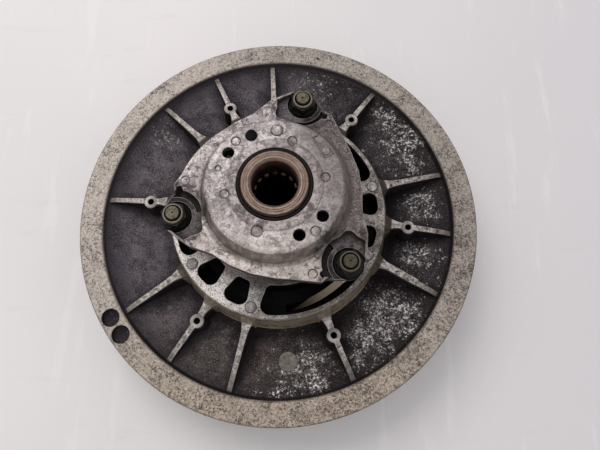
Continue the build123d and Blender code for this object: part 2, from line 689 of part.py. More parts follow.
nut_base_z = seat_pocket_z + 1.95
with BuildPart() as flange_nuts:
    for k, ang in enumerate(post_angles):
        a = math.radians(ang)
        cx, cy = stud_pitch_r * math.cos(a), stud_pitch_r * math.sin(a)
        # flange with a domed top
        with BuildSketch(radial_plane(ang)):
            with BuildLine():
                Polyline(
                    (stud_pitch_r, nut_base_z), (stud_pitch_r + 7.7, nut_base_z), (stud_pitch_r + 7.9, nut_base_z + 0.5),
                    (stud_pitch_r + 7.2, nut_base_z + 1.5), (stud_pitch_r + 6.3, nut_base_z + 2.5), (stud_pitch_r, nut_base_z + 2.8), close=True,
                )
            make_face()
        revolve(axis=Axis((cx, cy, 0), (0, 0, 1)))
        with BuildSketch(at_angle(ang + 17.0 * (k + 1), nut_base_z + 1.0).shift_origin((cx, cy, nut_base_z + 1.0))):
            RegularPolygon(6.5, 6, major_radius=False)
        extrude(amount=5.6)
        # round locking collar on top
        with BuildSketch(radial_plane(ang)):
            with BuildLine():
                Polyline(
                    (stud_pitch_r, nut_base_z + 5.0), (stud_pitch_r + 6.2, nut_base_z + 5.0), (stud_pitch_r + 5.95, nut_base_z + 7.4),
                    (stud_pitch_r + 5.4, nut_base_z + 8.2), (stud_pitch_r + 4.9, nut_base_z + 8.2), (stud_pitch_r + 4.2, nut_base_z + 7.2), (stud_pitch_r, nut_base_z + 7.2), close=True,
                )
            make_face()
        revolve(axis=Axis((cx, cy, 0), (0, 0, 1)))
    with BuildSketch(Plane.XY.offset(nut_base_z - 1.0)):
        with PolarLocations(stud_pitch_r, 3, start_angle=post_angles[0]):
            Circle(stud_r + 0.08)
    extrude(amount=20.0, mode=Mode.SUBTRACT)
flange_nuts.part.label = "flange_nuts"
export_step(flange_nuts.part, "parts/flange_nuts.step")

# ---------------------------------------------------------------------------
# torsion / compression spring with its two bent ends
# ---------------------------------------------------------------------------
coil_lo = pocket_floor_z + 1.2 + wire_r + 0.05
coil_hi = seat_top_z - 4.0 - wire_r - 0.05
turns = 5.5
start = 295.0
with BuildPart() as coil_blank:
    with BuildLine(Plane.XY.offset(coil_lo)) as coil:
        Helix(pitch=(coil_hi - coil_lo) / turns, height=coil_hi - coil_lo, radius=spring_pitch_r)
    with BuildSketch(Plane(origin=coil.wires()[0] @ 0, z_dir=coil.wires()[0] % 0)):
        Circle(wire_r)
    sweep(path=coil.wires()[0], is_frenet=True)

with BuildPart() as torsion_spring:
    add(coil_blank.part, rotation=(0, 0, start))
    # tang up through the seat, tang down into the sheave, a round knee at each bend
    with BuildSketch(at_angle(start + 360 * turns, coil_hi, spring_pitch_r)):
        Circle(wire_r)
    extrude(amount=114.6 - coil_hi)
    with BuildSketch(at_angle(start, coil_lo, spring_pitch_r)):
        Circle(wire_r)
    extrude(amount=-(coil_lo - 34.6))
    with Locations((*spot(start, spring_pitch_r), coil_lo), (*spot(start + 360 * turns, spring_pitch_r), coil_hi)):
        Sphere(wire_r)
torsion_spring.part.label = "torsion_spring"
export_step(torsion_spring.part, "parts/torsion_spring.step")

print("belt groove at the rim %.1f mm, lower rim z %.2f" % (upper_face_r - lower_face_r, lower_rim_z))
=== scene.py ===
import bmesh
import bpy
import json
import math
from mathutils import Matrix, Vector


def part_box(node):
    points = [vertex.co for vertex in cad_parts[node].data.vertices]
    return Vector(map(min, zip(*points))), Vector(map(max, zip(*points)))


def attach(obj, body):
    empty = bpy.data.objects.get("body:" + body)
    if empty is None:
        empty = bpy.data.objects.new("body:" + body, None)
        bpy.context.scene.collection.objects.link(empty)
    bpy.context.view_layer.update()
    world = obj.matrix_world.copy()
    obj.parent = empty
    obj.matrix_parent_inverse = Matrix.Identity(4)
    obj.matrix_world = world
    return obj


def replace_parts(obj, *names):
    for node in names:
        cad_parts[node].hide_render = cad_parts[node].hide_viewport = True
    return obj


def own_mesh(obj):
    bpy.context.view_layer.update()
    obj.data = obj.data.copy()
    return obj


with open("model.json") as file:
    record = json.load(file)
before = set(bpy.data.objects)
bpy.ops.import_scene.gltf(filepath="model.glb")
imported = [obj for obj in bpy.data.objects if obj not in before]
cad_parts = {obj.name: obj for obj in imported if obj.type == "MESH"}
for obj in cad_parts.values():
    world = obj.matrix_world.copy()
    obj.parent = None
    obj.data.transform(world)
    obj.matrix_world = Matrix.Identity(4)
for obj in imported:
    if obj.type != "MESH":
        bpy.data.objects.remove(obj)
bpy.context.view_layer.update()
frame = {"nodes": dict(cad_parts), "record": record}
nodes = frame["nodes"]
scene = bpy.context.scene

# ---------------------------------------------------------------------------
# Sizes of the pulley used by the materials, in millimetres. z = 0 is the
# underside of the hub flange and the axis is +Z.
# ---------------------------------------------------------------------------
TAN_G = math.tan(math.radians(14.0))
SHEAVE_R = 134.0
WEB_T = 5.15
BASE = -5.9
RIB_STEP = 21.15


def lin(r, g, b):
    """sRGB 0 to 255 as a linear colour."""
    out = []
    for c in (r, g, b):
        c = c / 255.0
        out.append(c / 12.92 if c <= 0.04045 else ((c + 0.055) / 1.055) ** 2.4)
    return tuple(out) + (1.0,)


# ---------------------------------------------------------------------------
# A short way to write node trees as sums
# ---------------------------------------------------------------------------
class E:
    """A float socket that can be added, multiplied and so on."""

    def __init__(self, g, s):
        self.g, self.s = g, s

    def __add__(self, o):
        return self.g.math("ADD", self, o)

    __radd__ = __add__

    def __mul__(self, o):
        return self.g.math("MULTIPLY", self, o)

    __rmul__ = __mul__

    def __sub__(self, o):
        return self.g.math("SUBTRACT", self, o)

    def __rsub__(self, o):
        return self.g.math("SUBTRACT", o, self)

    def __truediv__(self, o):
        return self.g.math("DIVIDE", self, o)


class G:
    """One material and its node tree. p is the place in millimetres, r, th and z its cylinder coordinates."""

    def __init__(self, name):
        self.mat = bpy.data.materials.new(name)
        self.mat.use_nodes = True
        self.t = self.mat.node_tree
        self.t.nodes.clear()
        self.out = self.t.nodes.new("ShaderNodeOutputMaterial")
        self.bsdf = self.t.nodes.new("ShaderNodeBsdfPrincipled")
        self.t.links.new(self.bsdf.outputs[0], self.out.inputs[0])
        tc = self.t.nodes.new("ShaderNodeTexCoord")
        sc = self.t.nodes.new("ShaderNodeVectorMath")
        sc.operation = "SCALE"
        sc.inputs["Scale"].default_value = 1000.0
        self.t.links.new(tc.outputs["Object"], sc.inputs[0])
        self.p = sc.outputs[0]
        sp = self.t.nodes.new("ShaderNodeSeparateXYZ")
        self.t.links.new(self.p, sp.inputs[0])
        self.x, self.y, self.z = (E(self, s) for s in sp.outputs)
        sn = self.t.nodes.new("ShaderNodeSeparateXYZ")
        self.t.links.new(tc.outputs["Normal"], sn.inputs[0])
        self.nx, self.ny, self.nz = (E(self, s) for s in sn.outputs)
        self.r = self.math("SQRT", self.x * self.x + self.y * self.y)
        self.th = self.math("ARCTAN2", self.y, self.x) * (180.0 / math.pi)

    # numbers ---------------------------------------------------------------
    def put(self, sock, v):
        if isinstance(v, E):
            self.t.links.new(v.s, sock)
        elif isinstance(v, bpy.types.NodeSocket):
            self.t.links.new(v, sock)
        else:
            sock.default_value = v

    def math(self, op, a, b=None, c=None, clamp=False):
        n = self.t.nodes.new("ShaderNodeMath")
        n.operation = op
        n.use_clamp = clamp
        for i, v in enumerate((a, b, c)):
            if v is not None:
                self.put(n.inputs[i], v)
        return E(self, n.outputs[0])

    def step(self, v, a, b):
        """0 to 1, smoothly, as v goes from a to b."""
        n = self.t.nodes.new("ShaderNodeMapRange")
        n.interpolation_type = "SMOOTHSTEP"
        self.put(n.inputs["Value"], v)
        n.inputs["From Min"].default_value = a
        n.inputs["From Max"].default_value = b
        return E(self, n.outputs["Result"])

    def span(self, v, a, b, to_a=0.0, to_b=1.0):
        """Linear and clamped."""
        n = self.t.nodes.new("ShaderNodeMapRange")
        self.put(n.inputs["Value"], v)
        n.inputs["From Min"].default_value = a
        n.inputs["From Max"].default_value = b
        n.inputs["To Min"].default_value = to_a
        n.inputs["To Max"].default_value = to_b
        return E(self, n.outputs["Result"])

    def clamp(self, v):
        return self.math("ADD", v, 0.0, clamp=True)

    def most(self, *v):
        out = v[0]
        for w in v[1:]:
            out = self.math("MAXIMUM", out, w)
        return out

    def least(self, *v):
        out = v[0]
        for w in v[1:]:
            out = self.math("MINIMUM", out, w)
        return out

    def curve(self, v, points):
        """Piecewise linear f(v) through the points."""
        lo, hi = points[0][0], points[-1][0]
        vals = [q for _, q in points]
        vlo, vhi = min(vals), max(vals)
        n = self.t.nodes.new("ShaderNodeFloatCurve")
        c = n.mapping.curves[0]
        n.mapping.use_clip = True
        while len(c.points) > 2:
            c.points.remove(c.points[1])
        pts = [((q - lo) / (hi - lo), (w - vlo) / (vhi - vlo)) for q, w in points]
        c.points[0].location = pts[0]
        c.points[1].location = pts[-1]
        for q in pts[1:-1]:
            c.points.new(*q)
        for q in c.points:
            q.handle_type = "VECTOR"
        n.mapping.update()
        self.put(n.inputs["Value"], self.span(v, lo, hi))
        return E(self, n.outputs[0]) * (vhi - vlo) + vlo

    # textures --------------------------------------------------------------
    def shift(self, v, by=(0, 0, 0), mul=(1, 1, 1)):
        n = self.t.nodes.new("ShaderNodeMapping")
        self.t.links.new(v, n.inputs["Vector"])
        n.inputs["Location"].default_value = by
        n.inputs["Scale"].default_value = mul
        return n.outputs[0]

    def vec(self, x, y, z):
        n = self.t.nodes.new("ShaderNodeCombineXYZ")
        for i, v in enumerate((x, y, z)):
            self.put(n.inputs[i], v)
        return n.outputs[0]

    def noise(self, scale, detail=3.0, rough=0.55, seed=0.0, v=None, dist=0.0, mul=(1, 1, 1)):
        n = self.t.nodes.new("ShaderNodeTexNoise")
        n.inputs["Scale"].default_value = scale
        n.inputs["Detail"].default_value = detail
        n.inputs["Roughness"].default_value = rough
        n.inputs["Distortion"].default_value = dist
        self.t.links.new(self.shift(self.p if v is None else v, (seed, seed * 1.7, -seed * 0.6), mul), n.inputs["Vector"])
        return E(self, n.outputs[0])

    def cells(self, scale, seed=0.0, feature="F1", random=1.0, v=None, out="Distance"):
        n = self.t.nodes.new("ShaderNodeTexVoronoi")
        n.feature = feature
        n.inputs["Scale"].default_value = scale
        n.inputs["Randomness"].default_value = random
        self.t.links.new(self.shift(self.p if v is None else v, (seed, -seed * 1.3, seed * 0.7)), n.inputs["Vector"])
        return E(self, n.outputs[out])

    def near(self, x, y, size, soft=0.6):
        """1 near the point x, y in plan, fading to 0 at size."""
        dx, dy = self.x - x, self.y - y
        d = self.math("SQRT", dx * dx + dy * dy)
        return self.step(d, size, size * (1.0 - soft))

    def polar(self, angle, radius, size, soft=0.6):
        a = math.radians(angle)
        return self.near(radius * math.cos(a), radius * math.sin(a), size, soft)

    def ao(self, dist, samples=6, inside=False):
        n = self.t.nodes.new("ShaderNodeAmbientOcclusion")
        n.samples = samples
        n.inside = inside
        n.only_local = True
        n.inputs["Distance"].default_value = dist / 1000.0
        return E(self, n.outputs["AO"])

    def round_normal(self, radius, samples=4):
        n = self.t.nodes.new("ShaderNodeBevel")
        n.samples = samples
        n.inputs["Radius"].default_value = radius / 1000.0
        return n.outputs["Normal"]

    def edge(self, radius, samples=4):
        """1 on an edge of the solid, 0 on a flat."""
        geo = self.t.nodes.new("ShaderNodeNewGeometry")
        d = self.t.nodes.new("ShaderNodeVectorMath")
        d.operation = "DOT_PRODUCT"
        self.t.links.new(self.round_normal(radius, samples), d.inputs[0])
        self.t.links.new(geo.outputs["Normal"], d.inputs[1])
        return self.step(E(self, d.outputs["Value"]), 0.995, 0.86)

    # colours ---------------------------------------------------------------
    def mix(self, f, a, b, kind="MIX"):
        n = self.t.nodes.new("ShaderNodeMix")
        n.data_type = "RGBA"
        n.blend_type = kind
        n.clamp_factor = True
        self.put(n.inputs[0], f)
        self.put(n.inputs[6], a)
        self.put(n.inputs[7], b)
        return n.outputs[2]

    def ramp(self, v, stops):
        n = self.t.nodes.new("ShaderNodeValToRGB")
        e = n.color_ramp.elements
        while len(e) > 1:
            e.remove(e[-1])
        e[0].position, e[0].color = stops[0]
        for pos, col in stops[1:]:
            q = e.new(pos)
            q.color = col
        self.put(n.inputs[0], v)
        return n.outputs[0]

    def scale_colour(self, col, f):
        """col made lighter or darker by the factor f."""
        n = self.t.nodes.new("ShaderNodeVectorMath")
        n.operation = "SCALE"
        self.t.links.new(col, n.inputs[0])
        self.put(n.inputs["Scale"], f)
        return n.outputs[0]

    # finish ----------------------------------------------------------------
    def bump(self, height, dist, normal=None, strength=1.0):
        n = self.t.nodes.new("ShaderNodeBump")
        n.inputs["Strength"].default_value = strength
        n.inputs["Distance"].default_value = dist / 1000.0
        self.put(n.inputs["Height"], height)
        if normal is not None:
            self.t.links.new(normal, n.inputs["Normal"])
        return n.outputs[0]

    def done(self, colour, rough, metal, normal=None, specular=0.25):
        self.bsdf.inputs["Specular IOR Level"].default_value = specular
        self.put(self.bsdf.inputs["Base Color"], colour)
        self.put(self.bsdf.inputs["Roughness"], rough)
        self.put(self.bsdf.inputs["Metallic"], metal)
        if normal is not None:
            self.t.links.new(normal, self.bsdf.inputs["Normal"])
        return self.mat


def cast_grain(g, seed=0.0):
    """Fine lumpy height of a sand or die casting, about 0 to 1."""
    return g.noise(0.55, 4.0, 0.6, seed) * 0.6 + g.noise(1.9, 2.0, 0.5, seed + 9.0) * 0.4


# ---------------------------------------------------------------------------
# Sliding sheave: turned rim, dark oxidised pockets with painted shade, worn ribs painted light on top and dark on the
# flanks, window ring
# ---------------------------------------------------------------------------
def sliding_sheave_material():
    g = G("cast_aluminium_moving")
    web = (g.r - SHEAVE_R) * TAN_G + (46.0 + WEB_T)
    h = g.z - web
    top = g.curve(g.r, [(66.0, 62.5), (70.2, 62.5), (73.0, 59.7), (87.0, 56.4), (104.0, 52.9), (112.0, 51.2), (116.0, 49.4), (120.0, 46.4)])
    frac = g.clamp(h / g.most(top - web, 0.6))
    up = g.step(g.nz, 0.55, 0.9)
    ao = g.ao(5.0)
    ao_wide = g.ao(18.0, 6)
    edge = g.edge(0.7)

    fine = g.noise(1.1, 3.0, 0.65, 3.0)
    grit = g.noise(2.1, 2.0, 0.6, 43.0)
    mid = g.noise(0.28, 4.0, 0.6, 17.0)
    big = g.noise(0.05, 3.0, 0.55, 31.0)
    blot = g.noise(0.11, 4.0, 0.62, 5.0)
    fleck = g.noise(0.62, 6.0, 0.78, 51.0)

    # gradient, heaviest at the lower right and lightest at the upper left: it tints the rim and sets the painted shade
    # on the rim's inner step wall
    tint_and_shade_gradient = g.span(g.x * 0.62 - g.y * 0.78, -110.0, 110.0)
    low_side = g.step(g.y, -40.0, -100.0)
    around = g.curve(g.th, [(-180.0, 0.30), (-140.0, 0.25), (-112.0, 0.45), (-90.0, 0.75), (-62.0, 0.95), (-30.0, 1.0), (30.0, 0.95), (62.0, 0.85), (84.0, 0.62), (104.0, 0.35), (150.0, 0.38), (180.0, 0.30)])
    centre = g.step(ao_wide, 0.45, 0.86)

    # --- web pockets ---
    clump = g.noise(0.20, 3.0, 0.6, 83.0)
    right = g.curve(g.th, [(-180.0, 0.0), (-122.0, 0.0), (-100.0, 0.55), (-70.0, 1.0), (40.0, 1.0), (68.0, 1.0), (80.0, 0.25), (96.0, 0.0), (180.0, 0.0)])
    dark = g.mix(right, lin(92, 85, 91), lin(52, 45, 48))
    dark = g.mix(low_side * 0.8, dark, g.mix(right, lin(90, 78, 68), lin(64, 54, 45)))
    dark = g.mix(g.step(blot, 0.38, 0.62), g.scale_colour(dark, 0.52), g.scale_colour(dark, 1.30))
    dark = g.mix(g.step(mid, 0.42, 0.66) * 0.40 * (1.0 - right * 0.5), dark, lin(104, 97, 100))
    dark = g.mix(g.step(fine, 0.53, 0.66) * (0.85 - right * 0.25), dark, lin(128, 121, 123))
    dark = g.mix(g.step(fine, 0.47, 0.34) * 0.85, dark, lin(26, 22, 24))
    # painted shade: each pocket darkens softly towards the rim, the ring and the ribs round it
    rib_d = None
    for pitch, first in ((60.0, BASE), (120.0, BASE + RIB_STEP), (120.0, BASE - RIB_STEP)):
        turn_ = g.math("FLOORED_MODULO", g.th - (first - pitch / 2.0), pitch) - pitch / 2.0
        q = g.math("ABSOLUTE", g.math("SINE", turn_ * (math.pi / 180.0))) * g.r
        rib_d = q if rib_d is None else g.least(rib_d, q)
    wob = (blot - 0.5) * 10.0
    border = g.most(g.step(g.r + wob, 100.0, 118.5), g.step(rib_d + wob * 0.7, 14.0, 1.5), g.step(g.r + wob * 0.5, 84.0, 74.5))
    dark = g.mix(border * 0.72, dark, g.mix(right, lin(40, 35, 41), lin(24, 20, 21)))
    # painted shade in the corners, from the occlusion node, deepest on the right-hand pockets
    dark = g.mix(g.step(ao_wide, 0.80, 0.46) * (0.25 + right * 0.65), dark, lin(20, 16, 17))

    # white powdery oxide: broken flecks, thickest in the middle of the right and lower pockets
    spots = g.most(
        g.polar(-40.0, 98.0, 30.0, 0.9) * 1.15,
        g.polar(-51.0, 101.0, 24.0, 0.9) * 1.25,
        g.polar(-63.0, 104.0, 18.0, 0.9) * 1.1,
        g.polar(-79.0, 103.0, 24.0, 0.9) * 1.3,
        g.polar(-86.0, 108.0, 16.0, 0.9) * 0.9,
        g.polar(34.0, 109.0, 24.0, 0.9) * 0.9,
        g.polar(45.0, 112.0, 22.0, 0.9) * 0.55,
        g.polar(24.0, 103.0, 18.0, 0.9) * 0.8,
        g.polar(6.0, 99.0, 18.0, 0.9) * 1.2,
        g.polar(-15.0, 96.0, 20.0, 0.9) * 0.95,
        g.polar(74.0, 108.0, 18.0, 0.9) * 0.4,
        g.polar(142.0, 106.0, 18.0, 0.9) * 0.55,
        g.polar(-112.0, 84.0, 14.0, 0.9) * 0.6,
        g.polar(166.0, 88.0, 12.0, 0.9) * 0.5,
    )
    amount = g.clamp(spots * 0.95 + around * 0.25) * centre
    cluster = g.clamp(amount * 0.80 + (blot - 0.5) * 2.4 + (clump - 0.5) * 2.2)
    wide = g.step(amount, 0.04, 0.25)
    white = g.step(fleck + cluster * 0.15, 0.60, 0.70) * wide
    core = g.step(fleck + cluster * 0.15, 0.65, 0.71) * wide
    haze = g.step(mid + cluster * 0.25, 0.62, 0.84) * amount
    dark = g.mix(haze * 0.50, dark, lin(118, 110, 108))
    dark = g.mix(white * 0.85, dark, g.mix(g.step(fine, 0.36, 0.58), lin(104, 96, 94), lin(170, 163, 160)))
    dark = g.mix(core * 0.9, dark, lin(236, 231, 228))
    dark = g.mix(g.step(fine, 0.46, 0.38) * amount * 0.95, dark, lin(22, 17, 18))
    stray = g.step(fleck, 0.64, 0.72) * g.step(grit, 0.45, 0.6)
    dark = g.mix(stray * 0.7, dark, lin(176, 170, 169))

    # --- ribs and bosses: flanks painted dark as shade, tops painted light as lit and worn metal ---
    flank = g.mix(g.step(mid, 0.35, 0.7), lin(20, 17, 18), lin(46, 41, 41))
    flank = g.mix(g.step(frac, 0.82, 0.98), flank, lin(104, 96, 91))
    flank = g.mix(g.step(fleck, 0.60, 0.70) * 0.4, flank, lin(140, 133, 129))
    toplight = g.mix(g.step(mid, 0.36, 0.62), lin(150, 141, 135), lin(208, 201, 195))
    toplight = g.mix(g.step(fine, 0.50, 0.40) * 0.7, toplight, lin(98, 88, 82))
    toplight = g.mix(g.step(g.noise(0.34, 4.0, 0.7, 71.0), 0.54, 0.61) * (0.55 + right * 0.35), toplight, lin(50, 42, 40))
    toplight = g.mix(g.step(g.r, 96.0, 116.0) * (0.45 + right * 0.35), toplight, lin(96, 87, 83))
    face = g.step(frac, 0.86, 0.97) * up
    rib = g.mix(face, flank, toplight)
    # painted highlight and wear along the rib edges
    rib = g.mix(edge * g.step(frac, 0.7, 0.95) * 0.6, rib, lin(206, 200, 193))
    body = g.mix(g.step(h, 0.8, 3.0), dark, rib)

    # --- ring: flat top, sloping wall painted dark as shade, with a painted glint along its foot ---
    # the ring's top is made lighter and less blotched towards the left
    ring_left_lighter = g.curve(g.th, [(-180.0, 1.0), (-118.0, 1.0), (-98.0, 0.45), (-60.0, 0.15), (60.0, 0.15), (110.0, 0.6), (180.0, 1.0)])
    rt = g.mix(g.step(mid, 0.3, 0.7), lin(112, 104, 99), lin(184, 177, 172))
    rt = g.mix(ring_left_lighter * 0.92, rt, lin(222, 215, 210))
    rt = g.mix(g.step(fine, 0.49, 0.40) * 0.8, rt, lin(70, 61, 57))
    rt = g.mix(g.step(blot, 0.46, 0.56) * (0.65 - ring_left_lighter * 0.40), rt, lin(70, 60, 55))
    rt = g.mix(g.step(fine, 0.58, 0.68) * 0.6, rt, lin(220, 213, 207))
    rt = g.mix(g.step(g.r, 56.0, 50.0) * 0.6, rt, lin(62, 54, 50))
    rt = g.scale_colour(rt, g.span(ring_left_lighter, 0.2, 1.0, 1.0, 1.32))
    # painted highlight and wear along the ring's edges
    rt = g.mix(edge * 0.7, rt, lin(208, 202, 194))
    # painted shadow and belt dust on the ring where the spring seat overhangs it
    rt = g.mix(g.step(g.r, 55.0, 53.0) * g.step(g.y, 8.0, 22.0) * 0.94, rt, lin(10, 8, 8))
    ring_top = g.step(g.z, 61.6, 62.3) * up * g.step(g.r, 71.4, 70.6)
    # dark line round each cam rivet
    line = None
    for k in range(3):
        for s_ in (-1, 1):
            a = math.radians(BASE + 120 * k + s_ * RIB_STEP)
            dx, dy = g.x - 64.7 * math.cos(a), g.y - 64.7 * math.sin(a)
            q = g.math("SQRT", dx * dx + dy * dy)
            line = q if line is None else g.least(line, q)
    rt = g.mix(g.step(line, 4.1, 3.5) * 0.85, rt, lin(34, 28, 27))
    wall = g.step(g.r, 75.6, 74.6) * g.step(g.r, 68.6, 69.6) * g.step(g.z, 38.0, 40.0)
    # the wall is painted dark as shade and lighter on the lit lower side, with a painted dark band under its top and a
    # painted light band below it
    lit = g.step(g.y, -20.0, -60.0)
    wl = g.mix(g.step(mid, 0.35, 0.65), lin(70, 63, 57), lin(100, 91, 82))
    wl = g.mix(lit * 0.75, wl, g.mix(g.step(mid, 0.35, 0.65), lin(128, 117, 103), lin(168, 156, 138)))
    wl = g.mix(g.step(g.z, 56.5, 60.0) * g.step(g.z, 62.0, 61.0) * (0.75 - lit * 0.4), wl, lin(62, 54, 48))
    wl = g.mix(g.step(g.z, 57.5, 54.5) * g.step(g.z, 49.0, 51.5) * 0.35, wl, lin(140, 131, 118))
    wl = g.mix(g.step(fine, 0.47, 0.33) * 0.6, wl, lin(38, 32, 29))
    # painted glint along the foot of the wall, gold on the lower side
    glint = g.step(g.y, -6.0, -34.0) * g.step(h, 6.5, 3.5) * g.step(h, 0.8, 2.2) * g.step(g.noise(0.07, 2.0, 0.5, 77.0), 0.44, 0.56)
    gold = g.step(g.y, -30.0, -60.0)
    wl = g.mix(glint * 0.9, wl, g.mix(gold, lin(188, 182, 174), lin(232, 206, 150)))
    # painted shade in the crease at the foot of the wall
    wl = g.mix(g.step(h, 1.6, 0.4) * 0.85, wl, lin(22, 18, 17))
    body = g.mix(wall, body, wl)
    body = g.mix(ring_top, body, rt)

    # --- spring chamber and everything under the ring: painted near black as shade, a little lighter just under the ring top ---
    inner = g.step(g.r, 69.2, 68.5) * g.step(g.z, 62.2, 61.2)
    ins = g.mix(g.step(mid, 0.3, 0.7), lin(9, 8, 8), lin(24, 20, 18))
    ins = g.mix(g.step(g.z, 58.0, 61.8) * 0.4, ins, lin(80, 72, 66))
    body = g.mix(inner, body, ins)

    # --- underside: belt face polished by the belt ---
    under = g.step(g.nz, -0.4, -0.8)
    streak = g.noise(1.0, 3.0, 0.6, 5.0, v=g.vec(g.r * 2.6, g.th * 0.02, 0.0))
    belt = g.mix(streak, lin(128, 122, 118), lin(178, 172, 167))
    belt = g.mix(g.step(mid, 0.50, 0.72) * 0.6, belt, lin(74, 66, 62))
    track = g.noise(1.0, 2.0, 0.5, 15.0, v=g.vec(g.r * 0.30, g.th * 0.003, 0.0))
    belt = g.mix(g.step(track, 0.50, 0.60) * 0.6, belt, lin(66, 60, 58))
    belt = g.mix(g.step(g.r, 80.0, 73.0) * 0.7, belt, lin(48, 43, 41))
    body = g.mix(under * g.step(g.r, 70.0, 71.0), body, belt)

    # --- rim land and its edge ---
    rim_top = g.step(g.z, 51.3, 51.7) * g.step(g.r, 117.9, 118.4)
    rim = g.most(rim_top, g.step(g.r, 132.6, 133.1))
    turn = g.noise(1.0, 2.0, 0.5, 2.0, v=g.vec(g.r * 2.2, g.th * 0.006, 0.0))
    patina = g.noise(0.035, 3.0, 0.6, 61.0)
    rust = g.clamp(tint_and_shade_gradient * 0.8 + (patina - 0.5) * 1.2)
    base = g.mix(rust, lin(184, 174, 165), lin(171, 159, 150))
    base = g.mix(g.step(g.y, -60.0, -118.0) * 0.55, base, lin(171, 154, 133))
    # the rim's brightness is scaled by angle, darkest at the top and at the right
    level = g.curve(g.th, [(-180.0, 1.02), (-140.0, 1.0), (-100.0, 1.06), (-60.0, 1.10), (-30.0, 1.0), (0.0, 0.78), (35.0, 0.86), (60.0, 0.86), (92.0, 0.74), (112.0, 0.90), (140.0, 1.0), (180.0, 1.02)])
    base = g.scale_colour(base, level)
    base = g.mix(turn * 0.35, base, g.scale_colour(base, 0.84))
    speck = g.noise(0.80, 6.0, 0.82, 23.0)
    coarse = g.noise(0.42, 6.0, 0.8, 37.0)
    drift = g.noise(0.075, 4.0, 0.65, 47.0, dist=0.7)
    thr = speck + (rust - 0.5) * 0.04 + (drift - 0.5) * 0.30
    mottle = g.noise(0.50, 6.0, 0.78, 57.0)
    base = g.scale_colour(base, g.span(mottle, 0.38, 0.62, 1.22, 0.70))
    base = g.mix(g.step(grit, 0.46, 0.60) * 0.5, base, g.scale_colour(base, 1.40))
    base = g.mix(g.step(coarse, 0.50, 0.60) * 0.40, base, g.scale_colour(base, 0.55))
    base = g.mix(g.step(thr, 0.50, 0.58) * 0.70, base, g.scale_colour(base, 0.40))
    base = g.mix(g.step(thr, 0.57, 0.64) * 0.8, base, lin(58, 46, 41))
    base = g.mix(g.step(fleck + (rust - 0.5) * 0.05, 0.56, 0.62) * 0.7, base, lin(52, 41, 36))
    base = g.mix(g.step(g.noise(1.5, 2.0, 0.6, 91.0), 0.56, 0.64) * 0.6, base, lin(218, 210, 200))
    base = g.mix(g.step(g.cells(0.16, 4.0), 0.15, 0.06) * 0.6, base, lin(60, 48, 43))
    base = g.mix(g.step(blot, 0.52, 0.62) * 0.22, base, g.scale_colour(base, 0.5))
    base = g.mix(g.step(g.r, 120.2, 118.6) * 0.55, base, lin(92, 82, 77))
    base = g.mix(g.step(g.r, 133.0, 133.8) * 0.55, base, lin(96, 84, 74))
    # pit and the patch beside the drilled holes
    base = g.mix(g.polar(77.1, 125.2, 1.3, 0.5), base, lin(44, 38, 36))
    body = g.mix(rim, body, base)
    # painted shade on the rim's inner step wall, darkest at the lower right and lighter at the upper left
    step_in = g.step(g.r, 116.6, 117.3) * g.step(g.r, 119.0, 118.6) * g.step(g.z, 51.5, 51.0) * g.step(g.nz, -0.1, 0.1)
    body = g.mix(step_in * 0.85, body, g.mix(g.step(tint_and_shade_gradient, 0.25, 0.6), lin(74, 68, 72), lin(30, 25, 26)))
    # painted shade inside the two drilled holes, with light flecks
    hole = g.most(g.polar(212.5, 126.65, 6.1, 0.08), g.polar(218.3, 126.65, 6.1, 0.08)) * g.step(g.z, 51.6, 51.1)
    hc = g.mix(g.step(fleck, 0.56, 0.68) * 0.6, lin(50, 43, 48), lin(140, 132, 128))
    body = g.mix(hole, body, hc)
    # painted shade: the inside of the tapped holes is dark, and so are the sides of the bosses; the boss tops round
    # them are painted light
    bores = None
    rims = None
    for k in range(6):
        b = g.polar(BASE + 60 * k, 86.9, 2.35, 0.15)
        bores = b if bores is None else g.most(bores, b)
        q = g.polar(BASE + 60 * k, 86.9, 6.4, 0.25)
        rims = q if rims is None else g.most(rims, q)
    body = g.mix(bores * g.step(g.z, 54.9, 54.0), body, lin(14, 12, 12))
    body = g.mix(rims * g.step(g.z, 54.4, 53.0) * g.step(h, 0.2, 1.0) * 0.55, body, lin(42, 36, 36))
    body = g.mix(rims * g.step(g.z, 54.6, 54.9) * (1.0 - bores) * 0.4, body, lin(190, 184, 178))

    # height for the bump
    grain = cast_grain(g, 4.0)
    pits = g.step(thr, 0.53, 0.62)
    rough_h = grain + white * 0.3 + mid * 0.3
    height = g.math("ADD", g.math("MULTIPLY", rough_h, 1.0 - rim), g.math("MULTIPLY", (1.0 - pits) * 0.3 + turn * 0.1 + fine * 0.2, rim))
    normal = g.bump(height, 0.6, g.round_normal(0.9))
    bright = g.most(face * g.step(h, 0.8, 3.0), ring_top)
    rough = g.math("MULTIPLY", 1.0 - rim, 0.64 - bright * 0.14) + g.math("MULTIPLY", rim, 0.60 + pits * 0.15)
    rough = g.clamp(rough + (fine - 0.5) * 0.18)
    metal = g.clamp(g.math("MULTIPLY", rim, 0.30 - pits * 0.25) + bright * (1.0 - rim) * 0.45 + 0.06)
    return g.done(body, rough, metal, normal, 0.16)
